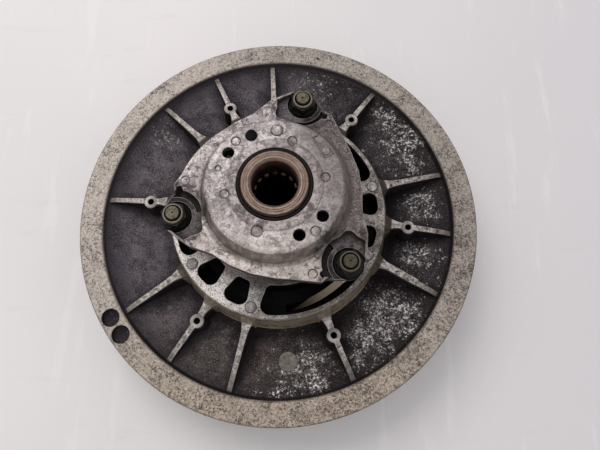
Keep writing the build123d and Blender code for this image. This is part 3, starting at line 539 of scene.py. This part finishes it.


# ---------------------------------------------------------------------------
# Spring seat: pale die casting with smudges and dark pockets round the nuts, with painted shade in their moats and
# recesses
# ---------------------------------------------------------------------------
def seat_material():
    g = G("seat_alloy")
    ao = g.ao(4.0)
    ao_wide = g.ao(12.0, 5)
    edge = g.edge(0.8)
    fine = g.noise(1.2, 3.0, 0.65, 13.0)
    grit = g.noise(2.2, 2.0, 0.6, 3.0)
    mid = g.noise(0.22, 5.0, 0.62, 27.0)
    blot = g.noise(0.12, 4.0, 0.65, 44.0)
    big = g.noise(0.055, 3.0, 0.6, 8.0, dist=0.6)
    smear = g.noise(0.16, 4.0, 0.6, 41.0, mul=(1.0, 0.45, 1.0))
    up = g.step(g.nz, 0.6, 0.92)

    stain = g.noise(0.09, 5.0, 0.68, 64.0, dist=0.8)
    patch = g.noise(0.34, 5.0, 0.66, 29.0, dist=0.5)
    c = g.mix(g.step(mid, 0.40, 0.60), lin(168, 160, 159), lin(192, 185, 184))
    c = g.mix(g.step(big, 0.46, 0.58) * 0.55, c, lin(128, 120, 120))
    c = g.mix(g.step(stain, 0.51, 0.59) * 0.60, c, lin(100, 91, 91))
    c = g.mix(g.step(smear, 0.54, 0.62) * 0.50, c, lin(92, 84, 84))
    c = g.mix(g.step(patch, 0.53, 0.60) * 0.40, c, lin(106, 97, 96))
    c = g.mix(g.step(patch, 0.585, 0.65) * 0.85, c, lin(48, 41, 41))
    c = g.mix(g.step(patch, 0.45, 0.37) * 0.35, c, lin(214, 208, 206))
    c = g.mix(g.step(blot, 0.57, 0.63) * 0.65, c, lin(72, 63, 62))
    c = g.mix(g.step(fine, 0.46, 0.36) * 0.55, c, lin(92, 83, 81))
    c = g.mix(g.step(fine, 0.58, 0.68) * 0.45, c, lin(220, 215, 212))
    c = g.mix(g.step(grit, 0.60, 0.66) * g.step(blot, 0.45, 0.56) * 0.7, c, lin(46, 39, 38))
    peck = g.noise(0.95, 5.0, 0.8, 88.0)
    c = g.mix(g.step(peck + (stain - 0.5) * 0.25, 0.56, 0.62) * 0.75, c, lin(70, 62, 61))
    # lower side warm and lighter, right side and upper right made darker grey
    warm = g.step(g.y, -10.0, -46.0)
    c = g.mix(warm * 0.38, c, lin(200, 187, 176))
    right_side_darker = g.step(g.x + g.y * 0.25, 18.0, 42.0)
    c = g.mix(right_side_darker * (0.60 + 0.3 * g.step(big, 0.42, 0.56)), c, lin(88, 79, 78))
    upper_right_darker = g.near(30.0, 42.0, 26.0, 0.7)
    c = g.mix(upper_right_darker * 0.60, c, lin(88, 80, 80))
    # smudges left by oily fingers and belt dust
    for sx, sy, sr, amt in ((4.0, 34.5, 8.0, 0.8), (-9.0, 34.0, 6.0, 0.6), (-24.0, -16.0, 7.0, 0.55), (-31.0, 12.0, 6.5, 0.5), (26.0, -26.0, 9.0, 0.5), (35.0, 4.0, 9.0, 0.5), (2.0, -33.0, 6.0, 0.5), (-12.0, -26.0, 7.0, 0.4), (18.0, 24.0, 8.0, 0.5)):
        c = g.mix(g.near(sx, sy, sr, 0.85) * g.step(patch, 0.40, 0.54) * amt, c, lin(52, 45, 46))
    c = g.scale_colour(c, g.span(g.x, -20.0, 25.0, 1.46, 1.28))
    c = g.mix(g.step(peck + (patch - 0.5) * 0.4, 0.57, 0.61) * 0.7, c, lin(58, 50, 49))
    c = g.mix(g.step(stain + (mid - 0.5) * 0.6, 0.56, 0.60) * 0.5, c, lin(74, 66, 66))
    c = g.mix(g.step(g.x + g.y * 0.25, 14.0, 34.0) * (0.35 + 0.35 * g.step(blot, 0.42, 0.56)), c, lin(98, 89, 87))
    c = g.mix(g.near(30.0, 42.0, 28.0, 0.6) * 0.5, c, lin(92, 84, 85))
    side = g.step(g.x + g.y * 0.25, 16.0, 34.0)
    c = g.mix(side * g.step(patch + (fine - 0.5) * 0.5, 0.49, 0.57) * 0.55, c, lin(56, 48, 47))
    c = g.mix(side * g.step(peck, 0.47, 0.41) * 0.5, c, lin(176, 168, 165))
    # the outer land of the dome is the cleanest, the inner one darker and rougher
    dome = g.step(g.z, 112.9, 113.2)
    land = dome * g.step(g.r, 27.2, 28.4)
    c = g.mix(land * 0.22, c, lin(186, 179, 177))
    inner = g.step(g.r, 27.4, 26.6) * g.step(g.z, 113.4, 113.7)
    c = g.mix(inner * 0.35, c, lin(136, 127, 125))
    c = g.mix(inner * g.step(mid, 0.50, 0.62) * 0.7, c, lin(84, 76, 77))
    lathe = g.noise(1.0, 2.0, 0.5, 6.0, v=g.vec(g.r * 2.4, g.th * 0.01, 0.0))
    c = g.scale_colour(c, g.span(lathe, 0.30, 0.70, 0.88, 1.12))
    # painted shade along the step round the inner land
    c = g.mix(g.step(g.math("ABSOLUTE", g.r - 27.2), 0.7, 0.1) * dome * g.step(mid, 0.35, 0.55) * 0.55, c, lin(96, 88, 88))
    # cone side is smoother, and painted browner and darker than the plate as shade; the crease at its foot is painted
    # darker still as shade
    cone = g.step(g.z, 102.3, 103.2) * g.step(g.z, 112.6, 111.6) * g.step(g.r, 36.0, 38.0)
    c = g.mix(cone * 0.86, c, g.mix(g.step(mid, 0.35, 0.65), lin(118, 108, 100), lin(152, 142, 135)))
    c = g.mix(cone * g.step(stain, 0.46, 0.58) * 0.5, c, lin(92, 83, 76))
    c = g.mix(g.step(g.z, 104.5, 102.2) * g.step(g.r, 46.0, 44.0) * g.step(g.r, 40.0, 42.0) * 0.5, c, lin(84, 75, 70))
    # outlines of the ejector marks
    marks = [(34.2, 130.9, 2.6), (27.9, 69.5, 2.6), (28.5, 8.0, 2.6), (28.3, 192.1, 2.6), (28.7, 251.2, 3.1), (35.3, 309.7, 2.7), (33.2, 163.8, 1.6), (32.6, 88.4, 3.3), (53.0, 173.0, 2.5), (53.0, 53.5, 2.5), (53.0, 293.5, 2.5)]
    line = None
    for rad, ang, size in marks:
        a = math.radians(ang)
        dx, dy = g.x - rad * math.cos(a), g.y - rad * math.sin(a)
        q = g.math("ABSOLUTE", g.math("SQRT", dx * dx + dy * dy) - size)
        line = q if line is None else g.least(line, q)
    broken = g.step(g.noise(0.22, 2.0, 0.5, 30.0), 0.30, 0.46)
    c = g.mix(g.step(line, 0.62, 0.18) * up * broken * 0.9, c, lin(44, 38, 37))
    # painted shade along the outline of the sunk pad; its floor is painted a little darker too
    ca, sa = math.cos(math.radians(-62.0)), math.sin(math.radians(-62.0))
    px, py = g.x - 27.2, g.y - 22.9
    along = g.math("ABSOLUTE", px * ca + py * sa)
    across = g.math("ABSOLUTE", py * ca - px * sa)
    box = g.math("ABSOLUTE", g.most(along - 7.2, across - 2.8))
    c = g.mix(g.step(box, 0.75, 0.2) * dome * 0.85, c, lin(50, 43, 42))
    pad = g.step(g.z, 113.25, 113.12) * g.step(g.math("MAXIMUM", along - 7.2, across - 2.8), 0.1, -0.1) * dome
    c = g.mix(pad * 0.35, c, lin(112, 104, 102))
    # sunk platforms round the nuts: oily and dark; the moat on the clockwise side is painted black as shade, and all
    # below the platforms near black as shade
    d = None
    black = None
    for k in range(3):
        a = math.radians(74.5 + 120.0 * k)
        dx, dy = g.x - 59.3 * math.cos(a), g.y - 59.3 * math.sin(a)
        q = g.math("SQRT", dx * dx + dy * dy)
        d = q if d is None else g.least(d, q)
        ccw = dy * math.cos(a) - dx * math.sin(a)
        m = g.step(q, 19.0, 12.5) * g.step(ccw, 0.0, -6.0)
        black = m if black is None else g.most(black, m)
    grime_and_shade_near_nut = g.step(d, 24.0, 14.0)
    low = g.step(g.z, 101.4, 99.4)
    purple = g.step(g.y, 20.0, 45.0)
    tint = g.mix(purple, g.mix(g.step(patch, 0.40, 0.60), lin(84, 75, 72), lin(38, 32, 30)), g.mix(g.step(patch, 0.42, 0.62), lin(88, 82, 88), lin(52, 47, 52)))
    tint = g.mix(g.step(fine, 0.48, 0.38) * 0.8, tint, lin(20, 17, 18))
    tint = g.mix(g.step(peck, 0.54, 0.62) * 0.6, tint, lin(140, 132, 134))
    c = g.mix(low * 0.94, c, tint)
    # the raised ring round each spot face is rubbed light
    rub = g.step(d, 12.7, 12.0) * g.step(d, 9.0, 9.6) * low * g.step(g.z, 98.0, 98.4)
    c = g.mix(rub * g.step(patch, 0.60, 0.46) * 0.45, c, lin(128, 120, 124))
    # painted shade: the moat on each nut's clockwise side is near black
    c = g.mix(g.clamp(black * grime_and_shade_near_nut * 1.1 + (mid - 0.5) * black) * (0.65 + low * 0.25), c, g.mix(fine, lin(12, 10, 11), lin(40, 35, 36)))
    c = g.mix(grime_and_shade_near_nut * (1.0 - low) * g.step(stain, 0.40, 0.56) * 0.75, c, lin(70, 61, 60))
    c = g.mix(g.step(g.math("ABSOLUTE", d - 18.5), 3.0, 0.5) * g.step(patch + (mid - 0.5), 0.44, 0.56) * (1.0 - low) * 0.7, c, lin(40, 34, 34))
    # painted shade: everything below the platforms is near black
    c = g.mix(g.step(g.z, 98.3, 97.8), c, g.mix(fine, lin(4, 3, 3), lin(16, 13, 13)))
    # plate away from the dome gathers dirt in patches
    plate = g.step(g.z, 102.6, 102.1) * up
    c = g.mix(plate * g.step(mid, 0.48, 0.64) * 0.35, c, lin(104, 95, 92))
    # painted shade in the corners, painted highlight and wear on the edges
    c = g.mix(g.step(ao, 0.84, 0.45) * 0.85, c, lin(34, 29, 29))
    c = g.mix(g.step(ao_wide, 0.70, 0.30) * 0.4, c, lin(54, 47, 45))
    c = g.mix(edge * g.step(ao, 0.8, 0.95) * 0.7, c, lin(224, 218, 213))
    # vertical edge of the plate and the underside, painted darker as shade
    c = g.mix(g.step(g.z, 101.6, 100.8) * g.step(g.nz, 0.5, 0.2) * g.step(g.r, 44.6, 45.2) * 0.6, c, lin(84, 76, 71))
    c = g.mix(g.step(g.nz, -0.3, -0.8), c, lin(46, 41, 39))
    # painted shade: the holes in the dome are painted near black inside
    holes = None
    for a in (144.8, 324.8, 115.0, 295.0):
        b = g.polar(a, 32.4, 3.62, 0.06)
        holes = b if holes is None else g.most(holes, b)
    c = g.mix(holes * g.step(g.z, 113.3, 112.4), c, lin(10, 8, 8))
    # fine scratches
    scr = g.math("ABSOLUTE", g.noise(0.10, 2.0, 0.5, 15.0, mul=(1.0, 9.0, 1.0)) - 0.5)
    scr2 = g.math("ABSOLUTE", g.noise(0.10, 2.0, 0.5, 35.0, mul=(8.0, 1.0, 1.0)) - 0.5)
    lines = g.most(g.step(scr, 0.006, 0.001), g.step(scr2, 0.006, 0.001)) * g.step(g.noise(0.06, 1.0, 0.5, 3.3), 0.48, 0.6)
    c = g.mix(lines * 0.35 * up, c, lin(214, 210, 206))

    height = cast_grain(g, 2.0) * 0.8 + mid * 0.5 - lines * 0.25 - g.step(line, 0.5, 0.1) * 0.5
    normal = g.bump(height, 0.34, g.round_normal(1.0))
    rough = g.clamp(0.50 + (fine - 0.5) * 0.25 - cone * 0.06)
    metal = g.clamp(0.40 - low * 0.35 - g.step(ao, 0.86, 0.45) * 0.3)
    return g.done(c, rough, metal, normal, 0.10)


# ---------------------------------------------------------------------------
# Hub shaft: turned steel, brown with age, the bore painted black inside as shade
# ---------------------------------------------------------------------------
def shaft_material():
    g = G("hub_steel")
    fine = g.noise(1.4, 3.0, 0.6, 5.0)
    mid = g.noise(0.25, 4.0, 0.6, 12.0)
    ring = g.noise(1.0, 2.0, 0.5, 2.0, v=g.vec(g.r * 3.4, g.th * 0.01, 0.0))
    face = g.step(g.z, 113.6, 114.4) * g.step(g.nz, 0.2, 0.6)
    c = g.mix(ring, lin(122, 104, 92), lin(158, 142, 130))
    c = g.mix(g.step(mid, 0.42, 0.64) * 0.6, c, lin(118, 92, 77))
    c = g.mix(g.step(fine, 0.46, 0.31) * 0.7, c, lin(74, 55, 46))
    c = g.mix(g.step(fine, 0.60, 0.74) * 0.4, c, lin(186, 172, 160))
    red = g.step(g.math("ABSOLUTE", g.r - 16.9), 0.42, 0.12) * g.step(g.noise(0.12, 2.0, 0.5, 9.0), 0.40, 0.58)
    c = g.mix(red * 0.8, c, lin(92, 52, 42))
    c = g.mix(g.step(g.math("ABSOLUTE", g.r - 15.7), 0.35, 0.1) * 0.5, c, lin(84, 60, 48))
    c = g.mix(g.step(g.r, 18.3, 19.0) * 0.9, c, lin(44, 32, 30))
    c = g.mix(g.step(g.r, 13.9, 13.3) * 0.6, c, lin(84, 58, 46))
    # inside of the bore, painted darker with depth as shade
    depth = g.step(g.z, 113.6, 104.0)
    bore = g.mix(g.step(mid, 0.4, 0.65), lin(58, 42, 34), lin(98, 70, 56))
    tip = g.step(g.r, 12.9, 12.3) * g.step(g.z, 99.6, 98.8)
    bore = g.mix(depth * 0.93, bore, lin(12, 9, 8))
    rusty = tip * g.step(g.z, 95.0, 98.2) * g.step(g.noise(0.3, 2.0, 0.5, 50.0), 0.30, 0.5)
    bore = g.mix(rusty * 0.9, bore, lin(170, 128, 104))
    bore = g.mix(g.step(g.z, 97.0, 92.0), bore, lin(7, 5, 5))
    outer = g.mix(g.step(mid, 0.35, 0.7), lin(110, 96, 88), lin(152, 142, 134))
    inside = g.step(g.r, 15.0, 14.4) * (1.0 - face)
    c2 = g.mix(inside, outer, bore)
    c = g.mix(face, c2, c)
    low = g.step(g.z, 8.0, 6.5)
    c = g.mix(low * (1.0 - inside), c, g.mix(mid, lin(110, 102, 96), lin(156, 148, 142)))
    height = ring * 0.5 + fine * 0.3
    normal = g.bump(height, 0.16, g.round_normal(0.35))
    rough = g.clamp(0.42 + (fine - 0.5) * 0.3 + inside * 0.35)
    metal = g.clamp(0.55 - inside * 0.5)
    return g.done(c, rough, metal, normal)


def ring_material(name, low, high, rough, metal, seed=0.0, bump=0.12, dirt_and_shade=(24, 20, 20), round_mm=0.25):
    """Small turned or moulded parts: two tones, speckle, painted shade in the corners, a brighter edge as a painted
    highlight and wear.
    """
    g = G(name)
    fine = g.noise(1.6, 3.0, 0.6, seed + 3.0)
    mid = g.noise(0.4, 4.0, 0.6, seed + 21.0)
    ao = g.ao(2.5)
    edge = g.edge(round_mm)
    c = g.mix(g.step(mid, 0.3, 0.7), lin(*low), lin(*high))
    c = g.mix(g.step(fine, 0.45, 0.3) * 0.5, c, g.scale_colour(g.mix(0.5, c, lin(*dirt_and_shade)), 1.0))
    # painted shade in the corners
    c = g.mix(g.step(ao, 0.85, 0.4) * 0.8, c, lin(*dirt_and_shade))
    # painted highlight and wear on the edges
    c = g.mix(edge * 0.4, c, lin(*(min(255, int(v * 1.35) + 12) for v in high)))
    normal = g.bump(fine * 0.6 + mid * 0.4, bump, g.round_normal(round_mm))
    return g.done(c, g.clamp(rough + (fine - 0.5) * 0.25), g.clamp(metal - g.step(ao, 0.85, 0.4) * 0.3), normal, 0.10)


def nut_material():
    """Flange nuts and posts: olive zinc on the stud ends and collars, painted near black below, as oily finish and as
    shade.
    """
    g = G("zinc_steel")
    fine = g.noise(1.8, 3.0, 0.6, 7.0)
    mid = g.noise(0.5, 4.0, 0.6, 19.0)
    ao = g.ao(2.0)
    edge = g.edge(0.3)
    # distance from the nearest stud's axis
    d = None
    for k in range(3):
        a = math.radians(74.5 + 120.0 * k)
        dx, dy = g.x - 59.3 * math.cos(a), g.y - 59.3 * math.sin(a)
        q = g.math("SQRT", dx * dx + dy * dy)
        d = q if d is None else g.least(d, q)
    c = g.mix(g.step(mid, 0.3, 0.7), lin(62, 59, 48), lin(104, 99, 84))
    c = g.mix(g.step(fine, 0.46, 0.3) * 0.7, c, lin(34, 31, 27))
    c = g.mix(g.step(fine, 0.60, 0.72) * 0.5, c, lin(146, 140, 126))
    collar = g.step(g.z, 105.2, 105.7)
    lit = collar * g.step(g.nz, 0.2, 0.7) * g.step(d, 4.2, 4.8)
    c = g.mix(lit * 0.6, c, lin(138, 133, 118))
    # the one at the lower right is the oiliest
    oily = g.near(41.5, -42.3, 14.0, 0.2)
    c = g.mix(oily * 0.45, c, lin(44, 40, 30))
    # the hex and flange painted near black, as oily finish and as shade
    body = g.step(g.z, 105.2, 104.7) * g.step(g.z, 96.4, 97.4)
    c = g.mix(body * 0.95, c, g.mix(mid, lin(9, 8, 8), lin(30, 27, 24)))
    # painted highlight and wear on the edges
    c = g.mix(edge * body * g.step(mid, 0.50, 0.64) * 0.6, c, lin(118, 112, 102))
    c = g.mix(edge * (1.0 - body) * g.step(ao, 0.8, 0.95) * 0.4, c, lin(160, 154, 140))
    # painted shade in the corners
    c = g.mix(g.step(ao, 0.85, 0.4) * 0.95, c, lin(8, 7, 7))
    # posts below the seat are painted near black, as dust and as the shade under the seat
    c = g.mix(g.step(g.z, 93.0, 91.0) * 0.9, c, lin(12, 10, 9))
    turn = g.noise(1.0, 2.0, 0.5, 2.0, v=g.vec(d * 4.0, 0.0, g.z * 0.4))
    # thread on the stud's side
    c = g.mix(g.step(g.math("ABSOLUTE", d - 4.45), 0.75, 0.3) * g.step(g.z, 107.0, 106.4) * 0.9, c, lin(12, 10, 8))
    thread = g.math("SINE", g.z * (2.0 * math.pi / 1.25)) * g.step(d, 3.6, 3.8) * g.step(g.z, 107.0, 106.6)
    normal = g.bump(fine * 0.4 + turn * 0.35 + thread * 0.3, 0.16, g.round_normal(0.3))
    rough = g.clamp(0.38 + (fine - 0.5) * 0.35 + body * 0.12)
    return g.done(c, rough, g.clamp(0.55 - body * 0.55), normal, 0.14)


def fixed_sheave_material():
    g = G("cast_aluminium_fixed")
    fine = g.noise(1.1, 3.0, 0.65, 3.0)
    mid = g.noise(0.25, 4.0, 0.6, 17.0)
    fleck = g.noise(0.75, 5.0, 0.75, 51.0)
    ao = g.ao(5.0)
    ao_wide = g.ao(16.0, 5)
    edge = g.edge(0.8)
    up = g.step(g.nz, 0.3, 0.8)
    down = g.step(g.nz, -0.4, -0.8)
    streak = g.noise(1.0, 3.0, 0.6, 5.0, v=g.vec(g.r * 2.6, g.th * 0.02, 0.0))
    belt = g.mix(streak, lin(140, 134, 130), lin(188, 183, 178))
    belt = g.mix(g.step(mid, 0.55, 0.75) * 0.5, belt, lin(84, 76, 72))
    track = g.noise(1.0, 2.0, 0.5, 25.0, v=g.vec(g.r * 0.30, g.th * 0.003, 0.0))
    belt = g.mix(g.step(track, 0.50, 0.60) * 0.55, belt, lin(80, 73, 70))
    belt = g.mix(g.step(g.r, 80.0, 73.0) * 0.7, belt, lin(52, 47, 44))
    # painted shade: faces under the sliding sheave, inside the belt face, are near black
    inner = g.mix(g.step(mid, 0.3, 0.7), lin(7, 6, 6), lin(20, 17, 16))
    c = g.mix(g.step(g.r, 70.0, 71.2), inner, belt)
    back = g.mix(g.step(mid, 0.35, 0.7), lin(64, 58, 61), lin(104, 97, 98))
    back = g.mix(g.step(fleck, 0.64, 0.76) * 0.7, back, lin(196, 191, 188))
    # painted shade in the wide corners
    back = g.mix(g.step(ao_wide, 0.8, 0.35) * 0.7, back, lin(40, 35, 37))
    flat = g.step(g.z, 8.6, 8.0)
    bright = g.mix(g.step(mid, 0.3, 0.7), lin(156, 148, 142), lin(188, 181, 175))
    bright = g.mix(g.step(fine, 0.48, 0.33) * 0.7, bright, lin(104, 94, 86))
    back = g.mix(flat, back, bright)
    c = g.mix(1.0 - up, c, back)
    rim = g.step(g.r, 133.0, 133.5)
    rimc = g.mix(streak, lin(142, 132, 122), lin(176, 166, 156))
    rimc = g.mix(g.step(fleck, 0.52, 0.64) * 0.6, rimc, lin(98, 84, 74))
    c = g.mix(rim, c, rimc)
    # painted shade in the corners
    c = g.mix(g.step(ao, 0.85, 0.4) * 0.7, c, lin(18, 15, 15))
    # painted highlight and wear on the edges
    c = g.mix(edge * g.step(ao, 0.8, 0.95) * 0.5 * g.step(g.r, 69.0, 71.0), c, lin(206, 200, 194))
    height = g.math("ADD", cast_grain(g, 4.0) * (1.0 - up) * (1.0 - rim), streak * 0.15)
    normal = g.bump(height, 0.5, g.round_normal(0.9))
    rough = g.clamp(0.58 - up * 0.18 - flat * down * 0.12 + (fine - 0.5) * 0.2)
    metal = g.clamp(g.step(g.r, 70.0, 71.2) * (0.2 + up * 0.5 + rim * 0.4 + flat * down * 0.4))
    return g.done(c, rough, metal, normal, 0.14)


def cam_material():
    """Torque cam: near black, as hard anodising and as the shade inside the sheave; the ramps rubbed to a tan shine
    and painted lighter towards their tops.
    """
    g = G("cam_alloy")
    fine = g.noise(1.4, 3.0, 0.6, 3.0)
    mid = g.noise(0.3, 4.0, 0.6, 33.0)
    rub = g.noise(1.0, 3.0, 0.6, 8.0, v=g.vec(g.r * 3.0, g.th * 0.05, g.z * 0.1))
    ao = g.ao(4.0)
    edge = g.edge(0.5)
    # near black: hard anodising and painted shade inside the sheave
    c = g.mix(g.step(mid, 0.3, 0.7), lin(7, 6, 6), lin(18, 15, 13))
    ramp = g.step(g.nz, 0.25, 0.5) * g.step(g.z, 36.5, 38.5)
    ramp = ramp * g.step(g.r - 63.2 + g.span(g.z, 36.5, 49.0) * 4.8, -0.4, 0.5)
    # ramps painted lighter higher up, where light reaches them through the window
    c = g.mix(ramp * g.span(g.z, 35.5, 54.0), c, g.mix(rub, lin(140, 128, 108), lin(182, 169, 146)))
    c = g.mix(g.step(fine, 0.45, 0.3) * 0.5 * ramp, c, lin(62, 50, 36))
    # painted shade in the corners
    c = g.mix(g.step(ao, 0.7, 0.3) * 0.6 * (1.0 - ramp), c, lin(14, 12, 10))
    # painted highlight along the ramp edges
    c = g.mix(edge * g.step(g.z, 38.0, 50.0) * ramp * 0.5, c, lin(224, 212, 184))
    normal = g.bump(fine * 0.4 + rub * 0.3, 0.16, g.round_normal(0.4))
    return g.done(c, g.clamp(0.46 + (fine - 0.5) * 0.3), ramp * 0.4, normal, 0.10)


def spring_material():
    g = G("spring_steel")
    fine = g.noise(1.4, 3.0, 0.6, 3.0)
    mid = g.noise(0.35, 4.0, 0.6, 33.0)
    c = g.mix(g.step(mid, 0.3, 0.7), lin(14, 13, 14), lin(30, 28, 29))
    c = g.mix(g.step(fine, 0.62, 0.74) * 0.4, c, lin(92, 76, 62))
    c = g.mix(g.step(mid, 0.62, 0.74) * 0.4, c, lin(68, 44, 32))
    # cut end of the upper tang, one side painted darker as shade
    end = g.step(g.z, 113.0, 114.0)
    c = g.mix(end * 0.8, c, g.mix(g.step(g.x + g.y * 0.4, -1.0, -4.0), lin(6, 5, 6), lin(22, 20, 22)))
    normal = g.bump(fine * 0.6 + mid * 0.5, 0.18, g.round_normal(0.3))
    return g.done(c, g.clamp(0.56 + (fine - 0.5) * 0.3), 0.0, normal, 0.05)


made = {
    "cast_aluminium_moving": sliding_sheave_material(),
    "seat_alloy": seat_material(),
    "hub_steel": shaft_material(),
    "zinc_steel": nut_material(),
    "cast_aluminium_fixed": fixed_sheave_material(),
    "cam_alloy": cam_material(),
    "spring_steel": spring_material(),
    "aluminium_rivet": ring_material("aluminium_rivet", (120, 113, 111), (182, 176, 175), 0.5, 0.4, 3.0, 0.2, (46, 40, 38)),
    "steel_plug": ring_material("steel_plug", (94, 88, 81), (136, 129, 121), 0.5, 0.4, 9.0, 0.25, (30, 25, 23), 0.5),
    "bush_bronze": ring_material("bush_bronze", (134, 100, 58), (170, 132, 84), 0.38, 0.85, 12.0),
    "black_rubber": ring_material("black_rubber", (26, 24, 25), (44, 41, 41), 0.72, 0.0, 15.0),
    "black_plastic": ring_material("black_plastic", (12, 9, 9), (24, 20, 20), 0.5, 0.0, 18.0, 0.1, (6, 5, 5)),
    "plain_steel": ring_material("plain_steel", (126, 121, 116), (160, 155, 150), 0.38, 0.8, 22.0),
    "brown_steel": ring_material("brown_steel", (16, 9, 8), (36, 23, 20), 0.46, 0.1, 25.0, 0.12, (12, 8, 7)),
    "black_steel": ring_material("black_steel", (8, 7, 8), (20, 18, 19), 0.46, 0.0, 28.0, 0.12, (4, 3, 3)),
    "nylon": ring_material("nylon", (178, 164, 132), (208, 196, 168), 0.45, 0.0, 31.0, 0.1, (92, 76, 52)),
}

slots = {s["node"]: s["material_slot"] for s in frame["record"]["subparts"]}
for name, obj in nodes.items():
    obj.data.materials.clear()
    obj.data.materials.append(made[slots[name]])


# ---------------------------------------------------------------------------
# The real spring shortens as the sheave comes up; here it is only cut in two. The coil stays under the
# seat, with the fixed half; the short end that sits in the sheave goes with the sliding half.
# ---------------------------------------------------------------------------
def spring_piece(name, height, above):
    """The part of the CAD spring above or below a height, closed where it is cut."""
    mesh = nodes["torsion_spring"].data.copy()
    mesh.name = name
    bm = bmesh.new()
    bm.from_mesh(mesh)
    bmesh.ops.remove_doubles(bm, verts=bm.verts[:], dist=1e-7)
    cut = bmesh.ops.bisect_plane(bm, geom=bm.verts[:] + bm.edges[:] + bm.faces[:], dist=1e-8, plane_co=(0.0, 0.0, height), plane_no=(0.0, 0.0, 1.0), clear_inner=above, clear_outer=not above)
    rim = [e for e in cut["geom_cut"] if isinstance(e, bmesh.types.BMEdge)]
    bmesh.ops.holes_fill(bm, edges=rim, sides=0)
    bmesh.ops.recalc_face_normals(bm, faces=bm.faces[:])
    for face in bm.faces:
        face.smooth = True
    for e in bm.edges:
        e.smooth = not (len(e.link_faces) == 2 and e.calc_face_angle(0.0) > math.radians(40.0))
    open_edges = sum(1 for e in bm.edges if len(e.link_faces) != 2)
    bm.to_mesh(mesh)
    bm.free()
    if open_edges:
        raise RuntimeError("%s is open at %d edges" % (name, open_edges))
    piece = bpy.data.objects.new(name, mesh)
    scene.collection.objects.link(piece)
    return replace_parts(piece, "torsion_spring")


washer_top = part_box("spring_washer")[1][2]
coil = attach(spring_piece("spring_coil", washer_top + 0.00001, True), "fixed_half")
lower_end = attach(spring_piece("spring_lower_end", washer_top + 0.00001, False), "sliding_half")
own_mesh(coil)

# ---------------------------------------------------------------------------
# Floor, light and camera
# ---------------------------------------------------------------------------
def floor_material():
    g = G("floor_paper")
    scuff = g.noise(0.012, 4.0, 0.6, 4.0, mul=(1.0, 5.0, 1.0))
    dust = g.noise(0.5, 2.0, 0.5, 14.0)
    soft = g.noise(0.004, 3.0, 0.5, 24.0)
    c = g.mix(g.step(soft, 0.35, 0.65), lin(234, 230, 229), lin(229, 226, 225))
    # painted light: lighter on the left and darker towards the right, as the light falls from the left
    c = g.mix(g.span(g.x, -60.0, 240.0) * 0.8, c, lin(217, 214, 217))
    c = g.mix(g.step(scuff, 0.60, 0.72) * 0.35, c, lin(214, 211, 213))
    swipe = g.noise(0.02, 4.0, 0.65, 44.0, mul=(3.0, 0.4, 1.0))
    c = g.mix(g.step(swipe, 0.58, 0.70) * 0.30, c, lin(244, 241, 239))
    c = g.mix(g.step(dust, 0.74, 0.80) * 0.35, c, lin(196, 193, 196))
    return g.done(c, 0.55, 0.0, g.bump(dust, 0.05))


mesh = bpy.data.meshes.new("floor")
s = 6.0
mesh.from_pydata([(-s, -s, 0), (s, -s, 0), (s, s, 0), (-s, s, 0)], [], [(0, 1, 2, 3)])
floor = bpy.data.objects.new("floor", mesh)
scene.collection.objects.link(floor)
floor.data.materials.append(floor_material())

world = bpy.data.worlds.new("studio")
scene.world = world
world.use_nodes = True
bg = world.node_tree.nodes["Background"]
bg.inputs["Color"].default_value = (0.975, 0.965, 0.985, 1.0)
bg.inputs["Strength"].default_value = 0.60


def area(name, place, aim, size, power, colour):
    lamp = bpy.data.lights.new(name, "AREA")
    lamp.shape = "RECTANGLE"
    lamp.size, lamp.size_y = size
    lamp.energy = power
    lamp.color = colour
    obj = bpy.data.objects.new(name, lamp)
    scene.collection.objects.link(obj)
    obj.location = place
    obj.rotation_euler = (Vector(aim) - Vector(place)).to_track_quat("-Z", "Y").to_euler()
    return obj


area("key", (-0.62, 0.92, 1.60), (0.0, 0.0, 0.0), (1.2, 1.0), 14.0, (1.0, 0.98, 0.955))
area("top", (0.0, 0.2, 1.7), (0.0, 0.0, 0.0), (1.2, 1.2), 2.6, (0.97, 0.97, 1.0))

cam_data = bpy.data.cameras.new("photo")
cam_data.sensor_fit = "HORIZONTAL"
cam_data.sensor_width = 36.0
cam_data.lens = 28.97
cam_data.clip_start = 0.01
cam = bpy.data.objects.new("photo", cam_data)
scene.collection.objects.link(cam)
turn = Matrix.Rotation(math.radians(15.71), 4, "X") @ Matrix.Rotation(math.radians(-0.23), 4, "Y")
cam.matrix_world = Matrix.Translation((0.0130, -0.0947, 0.3653)) @ turn
scene.camera = cam
scene.view_settings.view_transform = "Standard"
